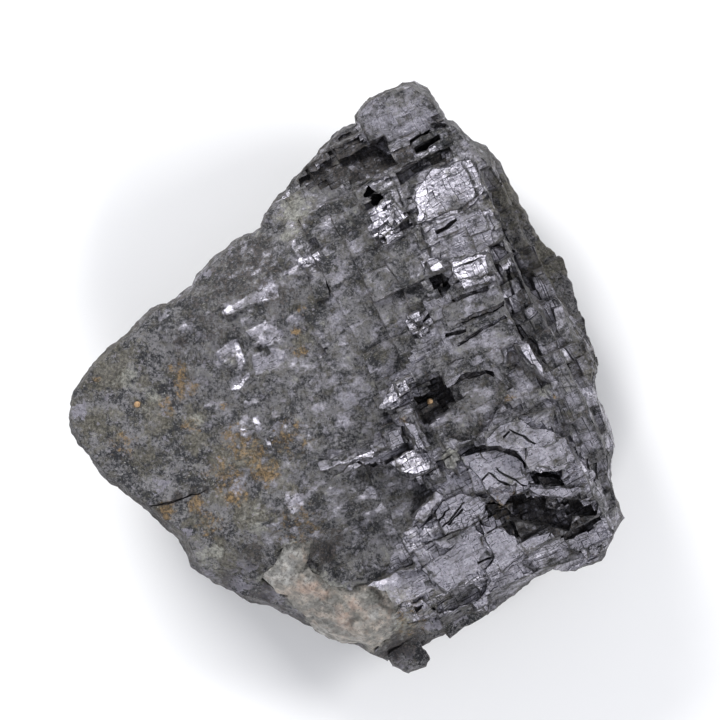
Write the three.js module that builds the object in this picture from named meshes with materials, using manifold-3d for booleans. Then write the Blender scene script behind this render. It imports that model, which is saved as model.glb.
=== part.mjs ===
// A hand specimen of cleaved galena on its wall rock, with a patch of pink calcite.
//
// Millimetres, +Z up. The specimen lies on the flat break of its back, at z = 0, and its cleaved
// front faces up. X runs across the front, Y up its length, and the origin is the centre of the
// footprint of its box. Three minerals have grown together: the galena, the wall rock under and
// beside it, and the calcite at its lower edge.
//
// The front, the back and the contact between the minerals are each a height above (x, y).
// Galena splits along the three faces of a cube, so the galena's own front is built of blocks
// that all lie in one crystal's frame.

import * as THREE from "three";
import { ImprovedNoise } from "three/addons/math/ImprovedNoise.js";
import { mergeVertices } from "three/addons/utils/BufferGeometryUtils.js";
import Module from "manifold-3d";

const wasm = await Module();
wasm.setup();

// ---- Driving dimensions ----

const REACH = 46; // half the side of the square that the height fields are drawn over
const STOCK_HEIGHT = 42; // the outline is drawn up to this height
const CRYSTAL_TURN = 26; // degrees from +X to the crystal's long cleavage direction
const LOWER_LEAN = 5; // degrees that the lower grain's floors lean towards the lower edge
const UPPER_LEAN = -9; // the upper grain's floors lean towards the upper end instead
const GRAIN_BORDER = 5; // where the upper grain starts, measured across the crystal
const BLOCK_DEPTH = 6; // how far each cleavage block reaches into the body
const STEP_RISE = 0.9; // height of one cleavage step
const STEP_CELL = 3.1; // mean size of the cells that share one step
const STEP_WALL = 0.12; // how far the wall of a step leans out
const ROCK_CELL = 3.1; // size of the facets of broken rock
const CONTACT_CELL = 6; // size of the facets where the minerals meet
const CORNER_SHIFT = 0.34; // how far a facet's corner may lie off the even grid, in cells
const LEAST_THICKNESS = 0.5; // of a height field where its top would cross its underside
const RIM_LEVELS = 9; // levels of facets up the side
const RIM_ROUNDING = 0.14; // how fast the side draws in above and below its widest line
const RIM_UNEVEN = 0.7; // depth of its unevenness
const RIM_FULLNESS = 0.3; // how far its widest line stands outside the outline
const STEPS_UNDER = 1; // how far the broken surface lies under the steps that cover it
const RIDGE_UNDER = 3; // the same where the front turns over into the steep right side
const RIDGE_WIDTH = 8; // how far below the front's height the right side counts as that ridge
const GRAIN_GAP = 0.34; // clearance between two minerals
const SEED = 7889;

// Unevenness of each surface: how deep it is, how wide its lumps are, and which noise it takes.
const UNEVEN = {
  weathered: { depth: 0.6, size: 6.5, layer: 0 },
  underSteps: { depth: 0.5, size: 6.5, layer: 0 },
  back: { depth: 1.3, size: 9, layer: 20 },
  contact: { depth: 0.9, size: 8, layer: 40 },
  steps: { depth: 0.7, size: 4.5, layer: 60 },
  calcite: { depth: 0.9, size: 3.2, layer: 80 },
};

// The outline seen from above, clockwise from the top corner.
const OUTLINE = [
  [9.4, 40.1], [11.1, 39.0], [12.4, 37.1], [14.2, 34.5], [15.0, 34.7], [17.1, 32.2],
  [19.9, 31.1], [21.3, 29.2], [22.6, 25.8], [24.8, 22.5], [25.7, 19.8], [27.9, 17.4],
  [30.0, 16.0], [31.5, 13.3], [31.8, 9.9], [33.5, 5.3], [34.5, 1.9], [34.0, -1.0],
  [35.2, -4.6], [36.6, -9.7], [36.4, -14.0], [37.9, -19.4], [36.7, -22.3], [35.2, -25.0],
  [31.8, -26.6], [28.4, -26.4], [25.8, -27.6], [22.5, -30.5], [16.9, -34.4], [12.3, -38.0],
  [11.2, -40.2], [8.8, -41.4], [6.8, -40.0], [2.3, -36.4], [-0.5, -36.5], [-4.1, -34.0],
  [-7.6, -32.0], [-13.0, -30.2], [-18.9, -27.4], [-20.8, -25.6], [-22.3, -22.3],
  [-25.4, -19.2], [-32.8, -13.4], [-36.3, -8.7], [-37.4, -5.8], [-37.2, -2.7],
  [-34.0, 1.6], [-29.0, 5.8], [-25.9, 9.2], [-23.6, 10.0], [-20.6, 12.3], [-20.1, 13.8],
  [-15.4, 18.2], [-11.3, 20.0], [-10.9, 21.8], [-6.7, 26.7], [-0.7, 33.2], [1.7, 34.5],
  [1.7, 35.5], [3.1, 37.5], [5.9, 38.9],
];

// A plane is a height z at the point (x, y) and its rise per millimetre along X and Y.
const plane = (x, y, z, alongX, alongY) => ({ x, y, z, alongX, alongY });
const heightOn = (p, x, y) => p.z + p.alongX * (x - p.x) + p.alongY * (y - p.y);
const lowest = (planes, x, y) => Math.min(...planes.map((p) => heightOn(p, x, y)));
const highest = (planes, x, y) => Math.max(...planes.map((p) => heightOn(p, x, y)));

// Planes that the front was broken along. The front is the lowest of them at each point.
const FRONT = [
  plane(8, 0, 32, 0.27, 0.02), // the left face
  plane(-8.2, 8.8, 31, 0.54, -0.58), // the upper left edge
  plane(8, 9, 33.5, -0.1, 0.13), // the middle
  plane(8, 14, 33.5, -0.04, -0.35), // the upper end
  plane(10, -5, 32, -0.02, 0.42), // the lower right face
  plane(15.2, -28.5, 22.5, -0.97, 2.19), // the strip along the lower edge
  plane(-14, -26.2, 23.5, 0.42, 1.34), // the strip along the lower left edge
  plane(30, -8, 30.5, -2.2, 0), // the lower right edge
];

// The steep right side: the highest of a wall, a slope below it and the wall rock's shelf.
const RIGHT_SIDE = [
  plane(19.3, 20, 30.5, -5.5, -1),
  plane(21.5, 8, 31.5, -1.6, -1.2),
  plane(24, 18, 14.5, -0.7, -0.35),
];

// Planes of the broken back. The back is the highest of them and of z = 0 at each point.
const BACK = [
  plane(-17, 0, 0, -0.62, 0.05),
  plane(-9.5, 10.2, 0, -0.82, 0.85),
  plane(8, 25, 0, 0.1, 0.8),
  plane(23, 6, 0, 1.05, 0.36),
  plane(11, -27, 0, 0.35, -0.72),
  plane(-13, -19, 0, -0.42, -0.74),
];

// Where the galena meets the wall rock: a wedge of rock that comes to the front at the left, and
// a slab of rock along the back that thickens towards the upper end, up to a level top.
const CONTACT_WEDGE = plane(-26, 8, 22.6, -0.6, -0.37);
const CONTACT_SLAB = plane(0, 0, 7.5, 0.03, 0.5);
const CONTACT_TOP = 18;

// Cleavage blocks that are placed one by one: centre x and y, length along the crystal's long
// direction, width across it, how proud of the front they stand, and a turn of their own.
const BLOCKS = [
  // the block at the upper end
  [7.6, 35.4, 10.5, 7.6, 1.4, 0],
  [12.6, 31.6, 3.4, 2.4, 0.2, 0],
  // bright plates below it
  [13.2, 25.2, 7.4, 6.2, 1.1, 2],
  [17.4, 24.2, 4.2, 8.6, 0.5, -3],
  [14.8, 19.6, 8.6, 3.4, 0.5, -4],
  [5.4, 21.4, 5.2, 4.0, 0.7, 12],
  [8.6, 17.4, 5.0, 4.6, 0.3, -10],
  [17.2, 14.9, 5.6, 3.2, 1.3, -9],
  [12.3, 14.9, 1.8, 1.9, 1.4, -6],
  // steps of the middle
  [16.9, 11.9, 7.4, 2.0, 0.6, -12],
  [17.3, 9.3, 8.2, 2.9, 1.0, -3],
  [17.8, 6.6, 8.0, 2.0, 0.25, -2],
  [17.4, 3.9, 7.4, 2.6, -0.35, -2],
  [17.3, 1.6, 8.4, 2.4, 0.3, -5],
  [18.4, -3.2, 6.6, 5.6, -0.7, -2],
  [9.8, 8.2, 1.5, 1.2, 1.0, 10],
  [10.6, 6.2, 1.6, 1.0, 0.8, 22],
  // beside and below the pit
  [8.3, -1.0, 3.0, 1.8, 1.1, 6],
  [6.2, -3.3, 3.2, 2.4, 0.7, 4],
  [9.4, -6.9, 2.0, 6.4, 1.3, -2],
  [6.8, -8.1, 2.6, 3.2, 0.7, 0],
  [9.7, -11.5, 4.8, 3.2, 1.5, -4],
  [1.4, -10.6, 9.6, 1.2, 0.9, -7],
  [12.4, -13.0, 1.4, 1.3, 1.3, 10],
  // the plates that face up, stepping down to the lower edge
  [23.6, -7.4, 9.4, 4.4, 1.8, -16],
  [27.3, -10.6, 5.4, 4.4, 1.7, -22],
  [20.4, -12.6, 7.2, 4.4, 1.0, -8],
  [22.2, -14.9, 5.8, 2.8, 0.7, -4],
  [28.6, -15.6, 7.2, 1.5, 1.1, -33],
  [15.4, -17.6, 6.6, 4.6, 0.9, 6],
  [11.6, -17.2, 5.4, 1.3, 1.9, 27],
  [15.4, -24.6, 9.6, 7.0, 1.2, -1],
  [21.7, -23.2, 4.4, 5.6, 1.5, 3],
  [25.4, -21.9, 4.8, 2.4, 0.8, 2],
  [8.4, -28.2, 9.6, 4.4, 1.1, -2],
  [10.2, -31.1, 1.8, 1.6, 0.8, 4],
  [1.0, -26.4, 3.6, 2.2, 0.6, -4],
  // the lower right corner
  [29.2, -24.0, 7.6, 3.0, 0.6, -15],
  [33.6, -23.2, 3.0, 2.6, 0.9, -30],
  [22.2, -27.5, 6.0, 2.2, 0.6, 0],
  [18.8, -30.9, 2.8, 1.8, 0.9, 2],
  [11.8, -33.8, 2.6, 2.0, 0.6, -6],
  // the tip at the lower end
  [9.0, -38.9, 4.6, 4.2, 5.4, 8],
  // splinters along the right face
  [21.5, 19.0, 1.5, 5.2, 1.4, 2],
  [21.5, 15.4, 2.0, 3.4, 1.0, 4],
  [24.9, 2.2, 1.5, 5.4, 1.4, 8],
  [27.0, 0.6, 1.3, 4.8, 0.9, 10],
  [32.4, 2.6, 3.0, 3.2, 0.9, 6],
  [32.6, -7.4, 3.4, 7.0, 0.6, 2],
  // plates that show through the weathered left face
  [-12.5, 10.8, 8.4, 1.9, 0.35, 2],
  [-10.3, 6.0, 5.0, 2.2, 0.3, 0],
  [-15.2, 3.2, 3.6, 3.0, 0.3, 14],
  [-3.4, 12.6, 2.0, 4.6, 0.3, -12],
];

// Pits and cracks: centre, length, width, depth below the front, and a turn.
const PITS = [
  [0.2, 28.4, 13.0, 4.6, 1.5, 0], // the hollow behind the upper block
  [10.4, 29.4, 8.0, 1.9, 1.5, 0],
  [10.7, 32.1, 3.6, 0.9, 4.5, 2],
  [12.7, 34.7, 1.7, 0.9, 1.8, -20],
  [3.7, 24.4, 2.0, 1.4, 5.0, 22], // the black hole
  [12.7, 12.7, 1.6, 1.3, 2.2, 10],
  [11.6, -2.3, 4.4, 3.4, 2.4, -4], // the main pit
  [14.6, -3.2, 3.4, 2.4, 1.4, 8],
  [27.4, -13.6, 3.6, 1.8, 2.0, -34],
  [21.4, -16.6, 3.8, 2.6, 1.6, -22], // the recess in the lower right corner
  [24.8, -18.6, 4.6, 3.8, 2.6, -36],
  [28.6, -20.0, 4.2, 2.4, 2.2, -42],
  [31.8, -18.6, 5.0, 2.2, 2.4, -28],
];

// Smooth hollows: centre, radius and depth.
const HOLLOWS = [
  [3.6, -19.5, 9, 2.6], // the dark shell-like break above the lower edge
  [-4.5, 27.5, 7, 1.4],
  [-20, -2, 11, 0.9],
  [-2.6, -23.6, 4, 2.0], // beside the calcite
];

// The calcite, seen from above: its outline, and how far it stands above and reaches below the
// front.
const CALCITE_OUTLINE = [
  [-10.9, -27.6], [-8.6, -25.4], [-7.5, -23.0], [-5.0, -22.9], [-5.6, -25.4], [-4.6, -27.0],
  [-2.2, -28.6], [0.6, -29.2], [3.4, -28.6], [5.4, -29.2], [6.8, -31.6], [6.0, -34.8],
  [3.4, -38.0], [-1.6, -38.0], [-3.4, -34.6], [-5.0, -32.0], [-7.4, -29.8],
];
const CALCITE_CENTRE = [-1.5, -31];
const CALCITE_RADIUS = 9;
const CALCITE_PROUD = 0.9;
const CALCITE_DEPTH = 5.5;
const CALCITE_BOWL = 0.75; // share of that depth that is lost at its edge
const CALCITE_CELL = 1.5;

// ---- Small tools ----

const degToRad = THREE.MathUtils.degToRad;
const CRYSTAL_ANGLE = degToRad(CRYSTAL_TURN);
const perlin = new ImprovedNoise();
let randomState = SEED;

// A repeatable number between low and high.
function draw(low, high) {
  randomState = (randomState * 1103515245 + 12345) % 2147483648;
  return low + ((high - low) * randomState) / 2147483648;
}

// Soft unevenness of two sizes at a point.
function uneven({ depth, size, layer }, x, y) {
  const coarse = perlin.noise(x / size, y / size, layer + 0.5);
  const fine = perlin.noise((2.3 * x) / size, (2.3 * y) / size, layer + 7.5);
  return depth * (coarse + 0.5 * fine);
}

// A closed three.js geometry as a solid.
function solidOf(geometry, matrix) {
  const bare = new THREE.BufferGeometry();
  const source = geometry.index ? geometry.toNonIndexed() : geometry;
  bare.setAttribute("position", source.getAttribute("position").clone());
  if (matrix) bare.applyMatrix4(matrix);
  const merged = mergeVertices(bare, 1e-3);
  const vertProperties = merged.attributes.position.array;
  const triVerts = new Uint32Array(merged.index.array);
  return new wasm.Manifold(new wasm.Mesh({ numProp: 3, vertProperties, triVerts }));
}

// A solid as a three.js geometry with merged vertices.
function geometryOf(solid) {
  const mesh = solid.getMesh();
  const geometry = new THREE.BufferGeometry();
  const places = new Float32Array(mesh.numVert * 3);
  for (let i = 0; i < mesh.numVert; i++) {
    const start = i * mesh.numProp;
    places.set(mesh.vertProperties.subarray(start, start + 3), i * 3);
  }
  geometry.setAttribute("position", new THREE.BufferAttribute(places, 3));
  geometry.setIndex(new THREE.BufferAttribute(mesh.triVerts, 1));
  return geometry;
}

// The solid between two heights over a square grid of cells, its corners shifted in x and y.
function fieldSolid(top, bottom, cell) {
  const count = Math.ceil((2 * REACH) / cell);
  const geometry = new THREE.BoxGeometry(2 * REACH, 2 * REACH, 2, count, count, 1);
  const places = geometry.getAttribute("position");
  const shift = CORNER_SHIFT * cell;
  for (let i = 0; i < places.count; i++) {
    const [evenX, evenY] = [places.getX(i), places.getY(i)];
    const x = evenX + shift * perlin.noise(evenX * 0.9, evenY * 0.9, 3.5);
    const y = evenY + shift * perlin.noise(evenX * 0.9, evenY * 0.9, 9.5);
    const low = bottom(x, y);
    const z = places.getZ(i) > 0 ? Math.max(top(x, y), low + LEAST_THICKNESS) : low;
    places.setXYZ(i, x, y, z);
  }
  return solidOf(geometry);
}

// ---- Heights of the front, the back and the contact ----

// 0 on the weathered left of the front, 1 on its cleaved right.
const cleavedShare = (x, y) => THREE.MathUtils.smoothstep(x + 0.35 * y, -6, 4);

// The depth of the smooth hollows at a point.
function hollow(x, y) {
  let depth = 0;
  for (const [centreX, centreY, radius, most] of HOLLOWS) {
    const away = Math.hypot(x - centreX, y - centreY) / radius;
    depth += away < 1 ? most * (1 - away * away) ** 2 : 0;
  }
  return depth;
}

const front = (x, y) =>
  Math.min(lowest(FRONT, x, y) - hollow(x, y), highest(RIGHT_SIDE, x, y));

// The weathered, uncleaved front. Where the galena is cleaved it lies just under the steps.
function brokenFront(x, y) {
  const share = cleavedShare(x, y);
  const nearRidge = highest(RIGHT_SIDE, x, y) < front(x, y) + RIDGE_WIDTH;
  const under = nearRidge ? RIDGE_UNDER : STEPS_UNDER;
  const surface = share < 0.5 ? UNEVEN.weathered : UNEVEN.underSteps;
  return front(x, y) - under * share + uneven(surface, x, y);
}

const brokenBack = (x, y) => Math.max(0, highest(BACK, x, y) + uneven(UNEVEN.back, x, y));

function contact(x, y) {
  const slab = Math.min(heightOn(CONTACT_SLAB, x, y), CONTACT_TOP);
  return Math.max(heightOn(CONTACT_WEDGE, x, y), slab) + uneven(UNEVEN.contact, x, y);
}

// ---- The outline's rim ----

// The side of the specimen: widest halfway between its back and its front, and uneven.
function rim() {
  const shape = new THREE.Shape(OUTLINE.map(([x, y]) => new THREE.Vector2(x, y)));
  const options = { depth: STOCK_HEIGHT, bevelEnabled: false, steps: RIM_LEVELS };
  const geometry = new THREE.ExtrudeGeometry(shape, options);
  const places = geometry.getAttribute("position");
  for (let i = 0; i < places.count; i++) {
    const [x, y, z] = [places.getX(i), places.getY(i), places.getZ(i)];
    const widest = (front(x, y) + brokenBack(x, y)) / 2;
    const dent = RIM_UNEVEN * perlin.noise(x / 5, y / 5, z / 5);
    const inward = RIM_ROUNDING * Math.abs(z - widest) + dent - RIM_FULLNESS;
    const distance = Math.hypot(x, y);
    places.setXYZ(i, x - (inward * x) / distance, y - (inward * y) / distance, z);
  }
  return solidOf(geometry);
}

// ---- The galena's cleavage blocks ----

// How far (x, y) lies across the crystal's long direction.
const acrossCrystal = (x, y) => y * Math.cos(CRYSTAL_ANGLE) - x * Math.sin(CRYSTAL_ANGLE);

// The frame of the crystal at a point of the front, with a turn of its own.
function crystalFrame(x, y, z, turn = 0) {
  const lean = acrossCrystal(x, y) > GRAIN_BORDER ? UPPER_LEAN : LOWER_LEAN;
  const angles = new THREE.Euler(degToRad(lean), 0, CRYSTAL_ANGLE + degToRad(turn), "ZYX");
  return new THREE.Matrix4().makeRotationFromEuler(angles).setPosition(x, y, z);
}

// A block whose cleaved top passes through (x, y, z).
function block(x, y, z, length, width, turn, depth = BLOCK_DEPTH) {
  const geometry = new THREE.BoxGeometry(length, width, depth).translate(0, 0, -depth / 2);
  return solidOf(geometry, crystalFrame(x, y, z, turn));
}

const placedBlock = ([x, y, length, width, proud, turn]) =>
  block(x, y, front(x, y) + proud, length, width, turn);

// A pit is a block of space that starts above the front and ends at the given depth.
function pit([x, y, length, width, depth, turn]) {
  const rise = 8;
  return block(x, y, front(x, y) + rise, length, width, turn, depth + rise);
}

// Positions of the cleavage lines along one direction: each is drawn twice, a hair apart, so
// that the strip between the two becomes the wall of a step.
function cleavageLines(cell) {
  const lines = [-REACH];
  for (let next = -REACH; next < REACH; ) {
    next += cell * draw(0.6, 1.4);
    lines.push(next - STEP_WALL / 2, next + STEP_WALL / 2);
  }
  return lines.slice(0, -1);
}

// A floor that leans as the two grains do.
function leaningFloor(x, y) {
  const across = acrossCrystal(x, y);
  const lower = Math.min(across, GRAIN_BORDER) * Math.tan(degToRad(LOWER_LEAN));
  const upper = Math.max(across - GRAIN_BORDER, 0) * Math.tan(degToRad(UPPER_LEAN));
  return lower + upper;
}

// How far one cell of the stepped field lies above the leaning floor: a whole number of steps.
function stepHeight(x, y) {
  const wanted = front(x, y) + uneven(UNEVEN.steps, x, y) - leaningFloor(x, y);
  const hidden = BLOCK_DEPTH * (1 - cleavedShare(x, y));
  return STEP_RISE * Math.round(wanted / STEP_RISE) - hidden;
}

// The middle of the cell that a line belongs to: lines 0 and 1 bound the first cell.
function cellMiddle(lines, line) {
  const first = line - (line % 2);
  return (lines[first] + lines[first + 1]) / 2;
}

// The stepped front of the galena: a box whose top is cut into cells of different heights.
function stepsSolid() {
  const along = cleavageLines(STEP_CELL * 1.5);
  const across = cleavageLines(STEP_CELL);
  const [last, lastAcross] = [along.length - 1, across.length - 1];
  const geometry = new THREE.BoxGeometry(last, lastAcross, 2, last, lastAcross, 1);
  const places = geometry.getAttribute("position");
  const point = new THREE.Vector3();
  const middle = new THREE.Vector3();
  const upright = new THREE.Vector3(0, 0, 1);
  for (let k = 0; k < places.count; k++) {
    const i = Math.round(places.getX(k) + last / 2);
    const j = Math.round(places.getY(k) + lastAcross / 2);
    point.set(along[i], across[j], 0).applyAxisAngle(upright, CRYSTAL_ANGLE);
    middle.set(cellMiddle(along, i), cellMiddle(across, j), 0);
    middle.applyAxisAngle(upright, CRYSTAL_ANGLE);
    const top = stepHeight(middle.x, middle.y) + leaningFloor(point.x, point.y);
    places.setXYZ(k, point.x, point.y, places.getZ(k) > 0 ? Math.max(top, -3) : -4);
  }
  return solidOf(geometry);
}

// ---- The calcite ----

// The underside of the calcite: deepest in its middle.
function calciteFloor(x, y) {
  const away = Math.hypot(x - CALCITE_CENTRE[0], y - CALCITE_CENTRE[1]) / CALCITE_RADIUS;
  return front(x, y) - CALCITE_DEPTH * (1 - CALCITE_BOWL * Math.min(away, 1) ** 2);
}

const calciteTop = (x, y) => front(x, y) + CALCITE_PROUD + uneven(UNEVEN.calcite, x, y);

// The calcite with lumpy top, or the room for it, which is open above.
function calcite(top, clearance) {
  const shape = new THREE.Shape(CALCITE_OUTLINE.map(([x, y]) => new THREE.Vector2(x, y)));
  const bevel = { bevelEnabled: clearance > 0, bevelThickness: 0.01, bevelSize: clearance };
  const options = { depth: STOCK_HEIGHT, bevelSegments: 1, ...bevel };
  const sides = solidOf(new THREE.ExtrudeGeometry(shape, options));
  const floor = (x, y) => calciteFloor(x, y) - clearance;
  return fieldSolid(top, floor, CALCITE_CELL).intersect(sides);
}

// ---- The three minerals ----

const outlineRim = rim();
const back = fieldSolid(() => STOCK_HEIGHT, brokenBack, ROCK_CELL * 1.3);
const broken = fieldSolid(brokenFront, () => -5, ROCK_CELL);
const blocks = wasm.Manifold.union(BLOCKS.map(placedBlock));
const pits = wasm.Manifold.union(PITS.map(pit));
const crystals = stepsSolid().add(blocks);
const whole = broken.add(crystals).subtract(pits).intersect(back).intersect(outlineRim);

const rockTop = fieldSolid(contact, () => -6, CONTACT_CELL);
const galenaFloor = rockTop.translate([0, 0, GRAIN_GAP]);
const calciteRoom = calcite(() => STOCK_HEIGHT, GRAIN_GAP);
const made = {
  galena: whole.subtract(galenaFloor).subtract(calciteRoom),
  wall_rock: whole.intersect(rockTop).subtract(calciteRoom),
  calcite: calcite(calciteTop, 0).intersect(outlineRim),
};

const LOOKS = {
  galena: { color: 0x6d6b72, metalness: 0.8, roughness: 0.4 },
  wall_rock: { color: 0x6a6659, roughness: 0.9 },
  calcite: { color: 0xa89c92, roughness: 0.6 },
};

const specimen = new THREE.Group();
for (const [name, solid] of Object.entries(made)) {
  const material = new THREE.MeshStandardMaterial(LOOKS[name]);
  const mesh = new THREE.Mesh(geometryOf(solid), material);
  mesh.name = name;
  specimen.add(mesh);
}

const box = new THREE.Box3().setFromObject(specimen);
const centre = box.getCenter(new THREE.Vector3());
specimen.position.set(-centre.x, -centre.y, -box.min.z);

export default specimen;
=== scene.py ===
# %% [markdown]
# # A specimen of cleaved galena
#
# Galena is lead ore. It is heavy, lead-grey and shiny, and it splits along the three faces of a
# cube, so a broken piece is a staircase of small flat ledges. This one sits on a wedge of dull
# wall rock and has a patch of pinkish calcite at its lower edge.
#
# The CAD model already holds the large forms at their real size. It could be rounded off and
# given a picture of the stone, but a picture doesn't glitter as the light moves. So each mineral
# is copied here, its surface is broken up more finely in the way that mineral breaks, and its
# finish is made from noise.

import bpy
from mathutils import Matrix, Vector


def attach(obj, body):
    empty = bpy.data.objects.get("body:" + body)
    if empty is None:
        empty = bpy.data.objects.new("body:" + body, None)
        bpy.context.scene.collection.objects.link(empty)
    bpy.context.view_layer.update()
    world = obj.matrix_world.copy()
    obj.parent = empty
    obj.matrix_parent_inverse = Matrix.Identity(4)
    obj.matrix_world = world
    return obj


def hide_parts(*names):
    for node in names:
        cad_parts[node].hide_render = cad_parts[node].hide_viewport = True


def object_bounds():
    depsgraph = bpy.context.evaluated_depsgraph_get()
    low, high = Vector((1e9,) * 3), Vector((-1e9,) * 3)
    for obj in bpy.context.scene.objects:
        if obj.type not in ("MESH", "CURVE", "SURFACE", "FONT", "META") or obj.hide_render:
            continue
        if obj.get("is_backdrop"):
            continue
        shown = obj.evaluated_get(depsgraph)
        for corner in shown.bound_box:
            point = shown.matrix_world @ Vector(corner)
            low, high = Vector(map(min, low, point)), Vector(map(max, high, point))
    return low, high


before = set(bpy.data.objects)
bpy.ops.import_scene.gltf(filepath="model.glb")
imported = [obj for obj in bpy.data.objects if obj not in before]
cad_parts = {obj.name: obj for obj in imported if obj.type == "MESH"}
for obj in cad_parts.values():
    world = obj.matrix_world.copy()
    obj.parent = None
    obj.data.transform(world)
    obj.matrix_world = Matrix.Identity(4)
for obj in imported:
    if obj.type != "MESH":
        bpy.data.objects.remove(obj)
cad_box = [list(corner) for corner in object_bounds()]
print("CAD box in mm:", [[round(1000 * value, 2) for value in corner] for corner in cad_box])

# %% [markdown]
# Sizes are easier to read in millimetres, and Blender's unit here is the metre, so every size
# below is written as a number times MM.
#
# The stone has to come out the same each time. The random numbers start from one seed, and so
# does Blender's noise: left alone, it takes its seed from the clock, and every run would break
# the surface a little differently.

# %% Units, noise and chance
import bisect
import math
import random

import bmesh
import bpy
from mathutils import Matrix, Vector, noise
from mathutils.bvhtree import BVHTree

MM = 0.001
chance = random.Random(11)
noise.seed_set(5)
print("noise at one place:", [round(value, 3) for value in noise.noise_vector((1, 2, 3))])

# %% [markdown]
# ## Copies to work on
#
# The three minerals have grown together, but each breaks in its own way, so each is worked on
# by itself. The CAD meshes stay as they are, and copies are shaped.
#
# A imported CAD mesh is loose triangles, so a copy is welded first. Then flat areas that were cut
# into many triangles are joined again into single faces, which keeps later cuts few. Each copy
# also gets some spare values per point and per face. They hold the paint: how worn, sooty or
# rusty the stone is at that place, and where painted shade darkens its walls and hollows.

# %% Welded copies of the minerals
WELD = 0.002 * MM
FLAT_WITHIN = math.radians(0.4)
MOST_CORNERS = 12
PAINTS = ("worn", "tan", "rust", "pale", "soot", "lead", "grain", "shiver", "flash")


def welded_copy(node):
    """A bmesh of the node with its loose triangles joined and its flat areas whole."""
    form = bmesh.new()
    form.from_mesh(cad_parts[node].data)
    form.faces.layers.int.new("fine")
    form.faces.layers.float.new("crack_shade")
    for paint in PAINTS:
        form.verts.layers.float.new(paint)
    bmesh.ops.remove_doubles(form, verts=form.verts, dist=WELD)
    bmesh.ops.dissolve_limit(form, angle_limit=FLAT_WITHIN, verts=form.verts, edges=form.edges)
    many_sided = [face for face in form.faces if len(face.verts) > MOST_CORNERS]
    bmesh.ops.triangulate(form, faces=many_sided)
    form.normal_update()
    print(node, "welded to", len(form.faces), "faces")
    return form


galena = welded_copy("galena")
rock = welded_copy("wall_rock")
calcite = welded_copy("calcite")

# %% [markdown]
# Several steps below ask how near a point is to another mineral. Going through all of that
# mineral's faces each time would be slow, so each CAD mesh also gets a search tree.

# %% Search trees of the neighbours
def search_tree(node):
    """A search tree of a CAD node."""
    form = bmesh.new()
    form.from_mesh(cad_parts[node].data)
    tree = BVHTree.FromBMesh(form)
    form.free()
    return tree


near_rock = search_tree("wall_rock")
near_galena = search_tree("galena")
near_calcite = search_tree("calcite")
above_foot = near_galena.find_nearest((0, 0, 0))[3]
print("the galena starts", round(above_foot / MM, 1), "mm from the middle of the foot")

# %% [markdown]
# The CAD solids stop 0.3 mm short of each other. On the real stone the minerals touch. The gap
# could be filled with a strip of its own, but it closes as well if one mineral reaches a little
# way into the next. So the hidden faces where they meet are found, and the galena and the
# calcite are let out.

# %% Find the faces that touch a neighbour
CONTACT_GAP = 0.5 * MM
FACING = -0.5  # how far two faces have to look at each other: -1 is straight on


def contact_faces(form, neighbour):
    """Faces that lie against a neighbour and face it."""
    found = []
    for face in form.faces:
        centre = face.calc_center_median()
        place, normal, _, _ = neighbour.find_nearest(centre, CONTACT_GAP)
        if place is not None and normal.dot(face.normal) < FACING:
            found.append(face)
    return found


print("galena faces against the rock:", len(contact_faces(galena, near_rock)))

# %% [markdown]
# The galena is thick at the contact, so each of its points can go straight to the rock and a
# hair further. The calcite is a thin crust, and would fold over itself in that way. It is only
# let out sideways, the way its upright faces look.

# %% Close the contacts
LET_OUT_REACH = 0.75 * MM
OVERLAP = 0.12 * MM
CALCITE_OVERLAP = 0.5 * MM


def corners(faces):
    """The points of some faces, each of them once and always in the same order."""
    return list(dict.fromkeys(vert for face in faces for vert in face.verts))


def let_out(form, neighbour):
    """Moves the contact faces just into the neighbour, and returns them."""
    touching = contact_faces(form, neighbour)
    moves = {}
    for vert in corners(touching):
        place, _, _, _ = neighbour.find_nearest(vert.co, LET_OUT_REACH)
        if place is not None:
            moves[vert] = place + (place - vert.co).normalized() * OVERLAP
    for vert, place in moves.items():
        vert.co = place
    return set(touching)


def let_out_sideways(form, faces, distance):
    """Moves the points of upright contact faces out by a distance, the way the faces look."""
    moves = {}
    for face in form.faces:
        for vert in face.verts if face in faces else ():
            moves[vert] = moves.get(vert, Vector()) + face.normal
    for vert, way in moves.items():
        way.z = 0
        vert.co += way.normalized() * distance


hidden_galena = let_out(galena, near_rock) | set(contact_faces(galena, near_calcite))
hidden_calcite = set(contact_faces(calcite, near_galena) + contact_faces(calcite, near_rock))
let_out_sideways(calcite, hidden_calcite, CALCITE_OVERLAP)
hidden_rock = set(contact_faces(rock, near_galena) + contact_faces(rock, near_calcite))
print("hidden faces:", len(hidden_galena), len(hidden_rock), len(hidden_calcite))

# %% [markdown]
# ## The crystal's own directions
#
# All the ledges of one crystal run along the same two lines, and all their tops lean the same
# way. If every ledge were turned by chance, the piece would look like rubble, so the grain is
# set once. Its three directions are kept together: along the ledges, across them, and up out of
# them.

# %% Directions of the cleavage
LEDGE_TURN = math.radians(27)
FRONT_UP = Vector((0.035, -0.05, 1)).normalized()


def directions(turn, up):
    """Along the ledges, across them, and up."""
    flat = Vector((math.cos(turn), math.sin(turn), 0))
    along = (flat - up * flat.dot(up)).normalized()
    return along, up.cross(along), up


front_grain = directions(LEDGE_TURN, FRONT_UP)
print("along the ledges:", [round(value, 2) for value in front_grain[0]])

# %% [markdown]
# ## Slicing
#
# A real broken face of galena is thousands of small flat ledges with upright walls. A
# displacement map would give them soft slopes, and modelling each one by hand would take weeks.
# Here the mesh is sliced by two sets of uneven lines, along the ledges and across them, into a
# few thousand cells.
#
# Every cut is made twice, a hair apart. When two neighbouring cells later move to different
# heights, the thin strip between them becomes the wall of a step.

# %% One cut, made twice
HAIR = 0.07 * MM
SAME_PLACE = 1e-8


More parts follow.
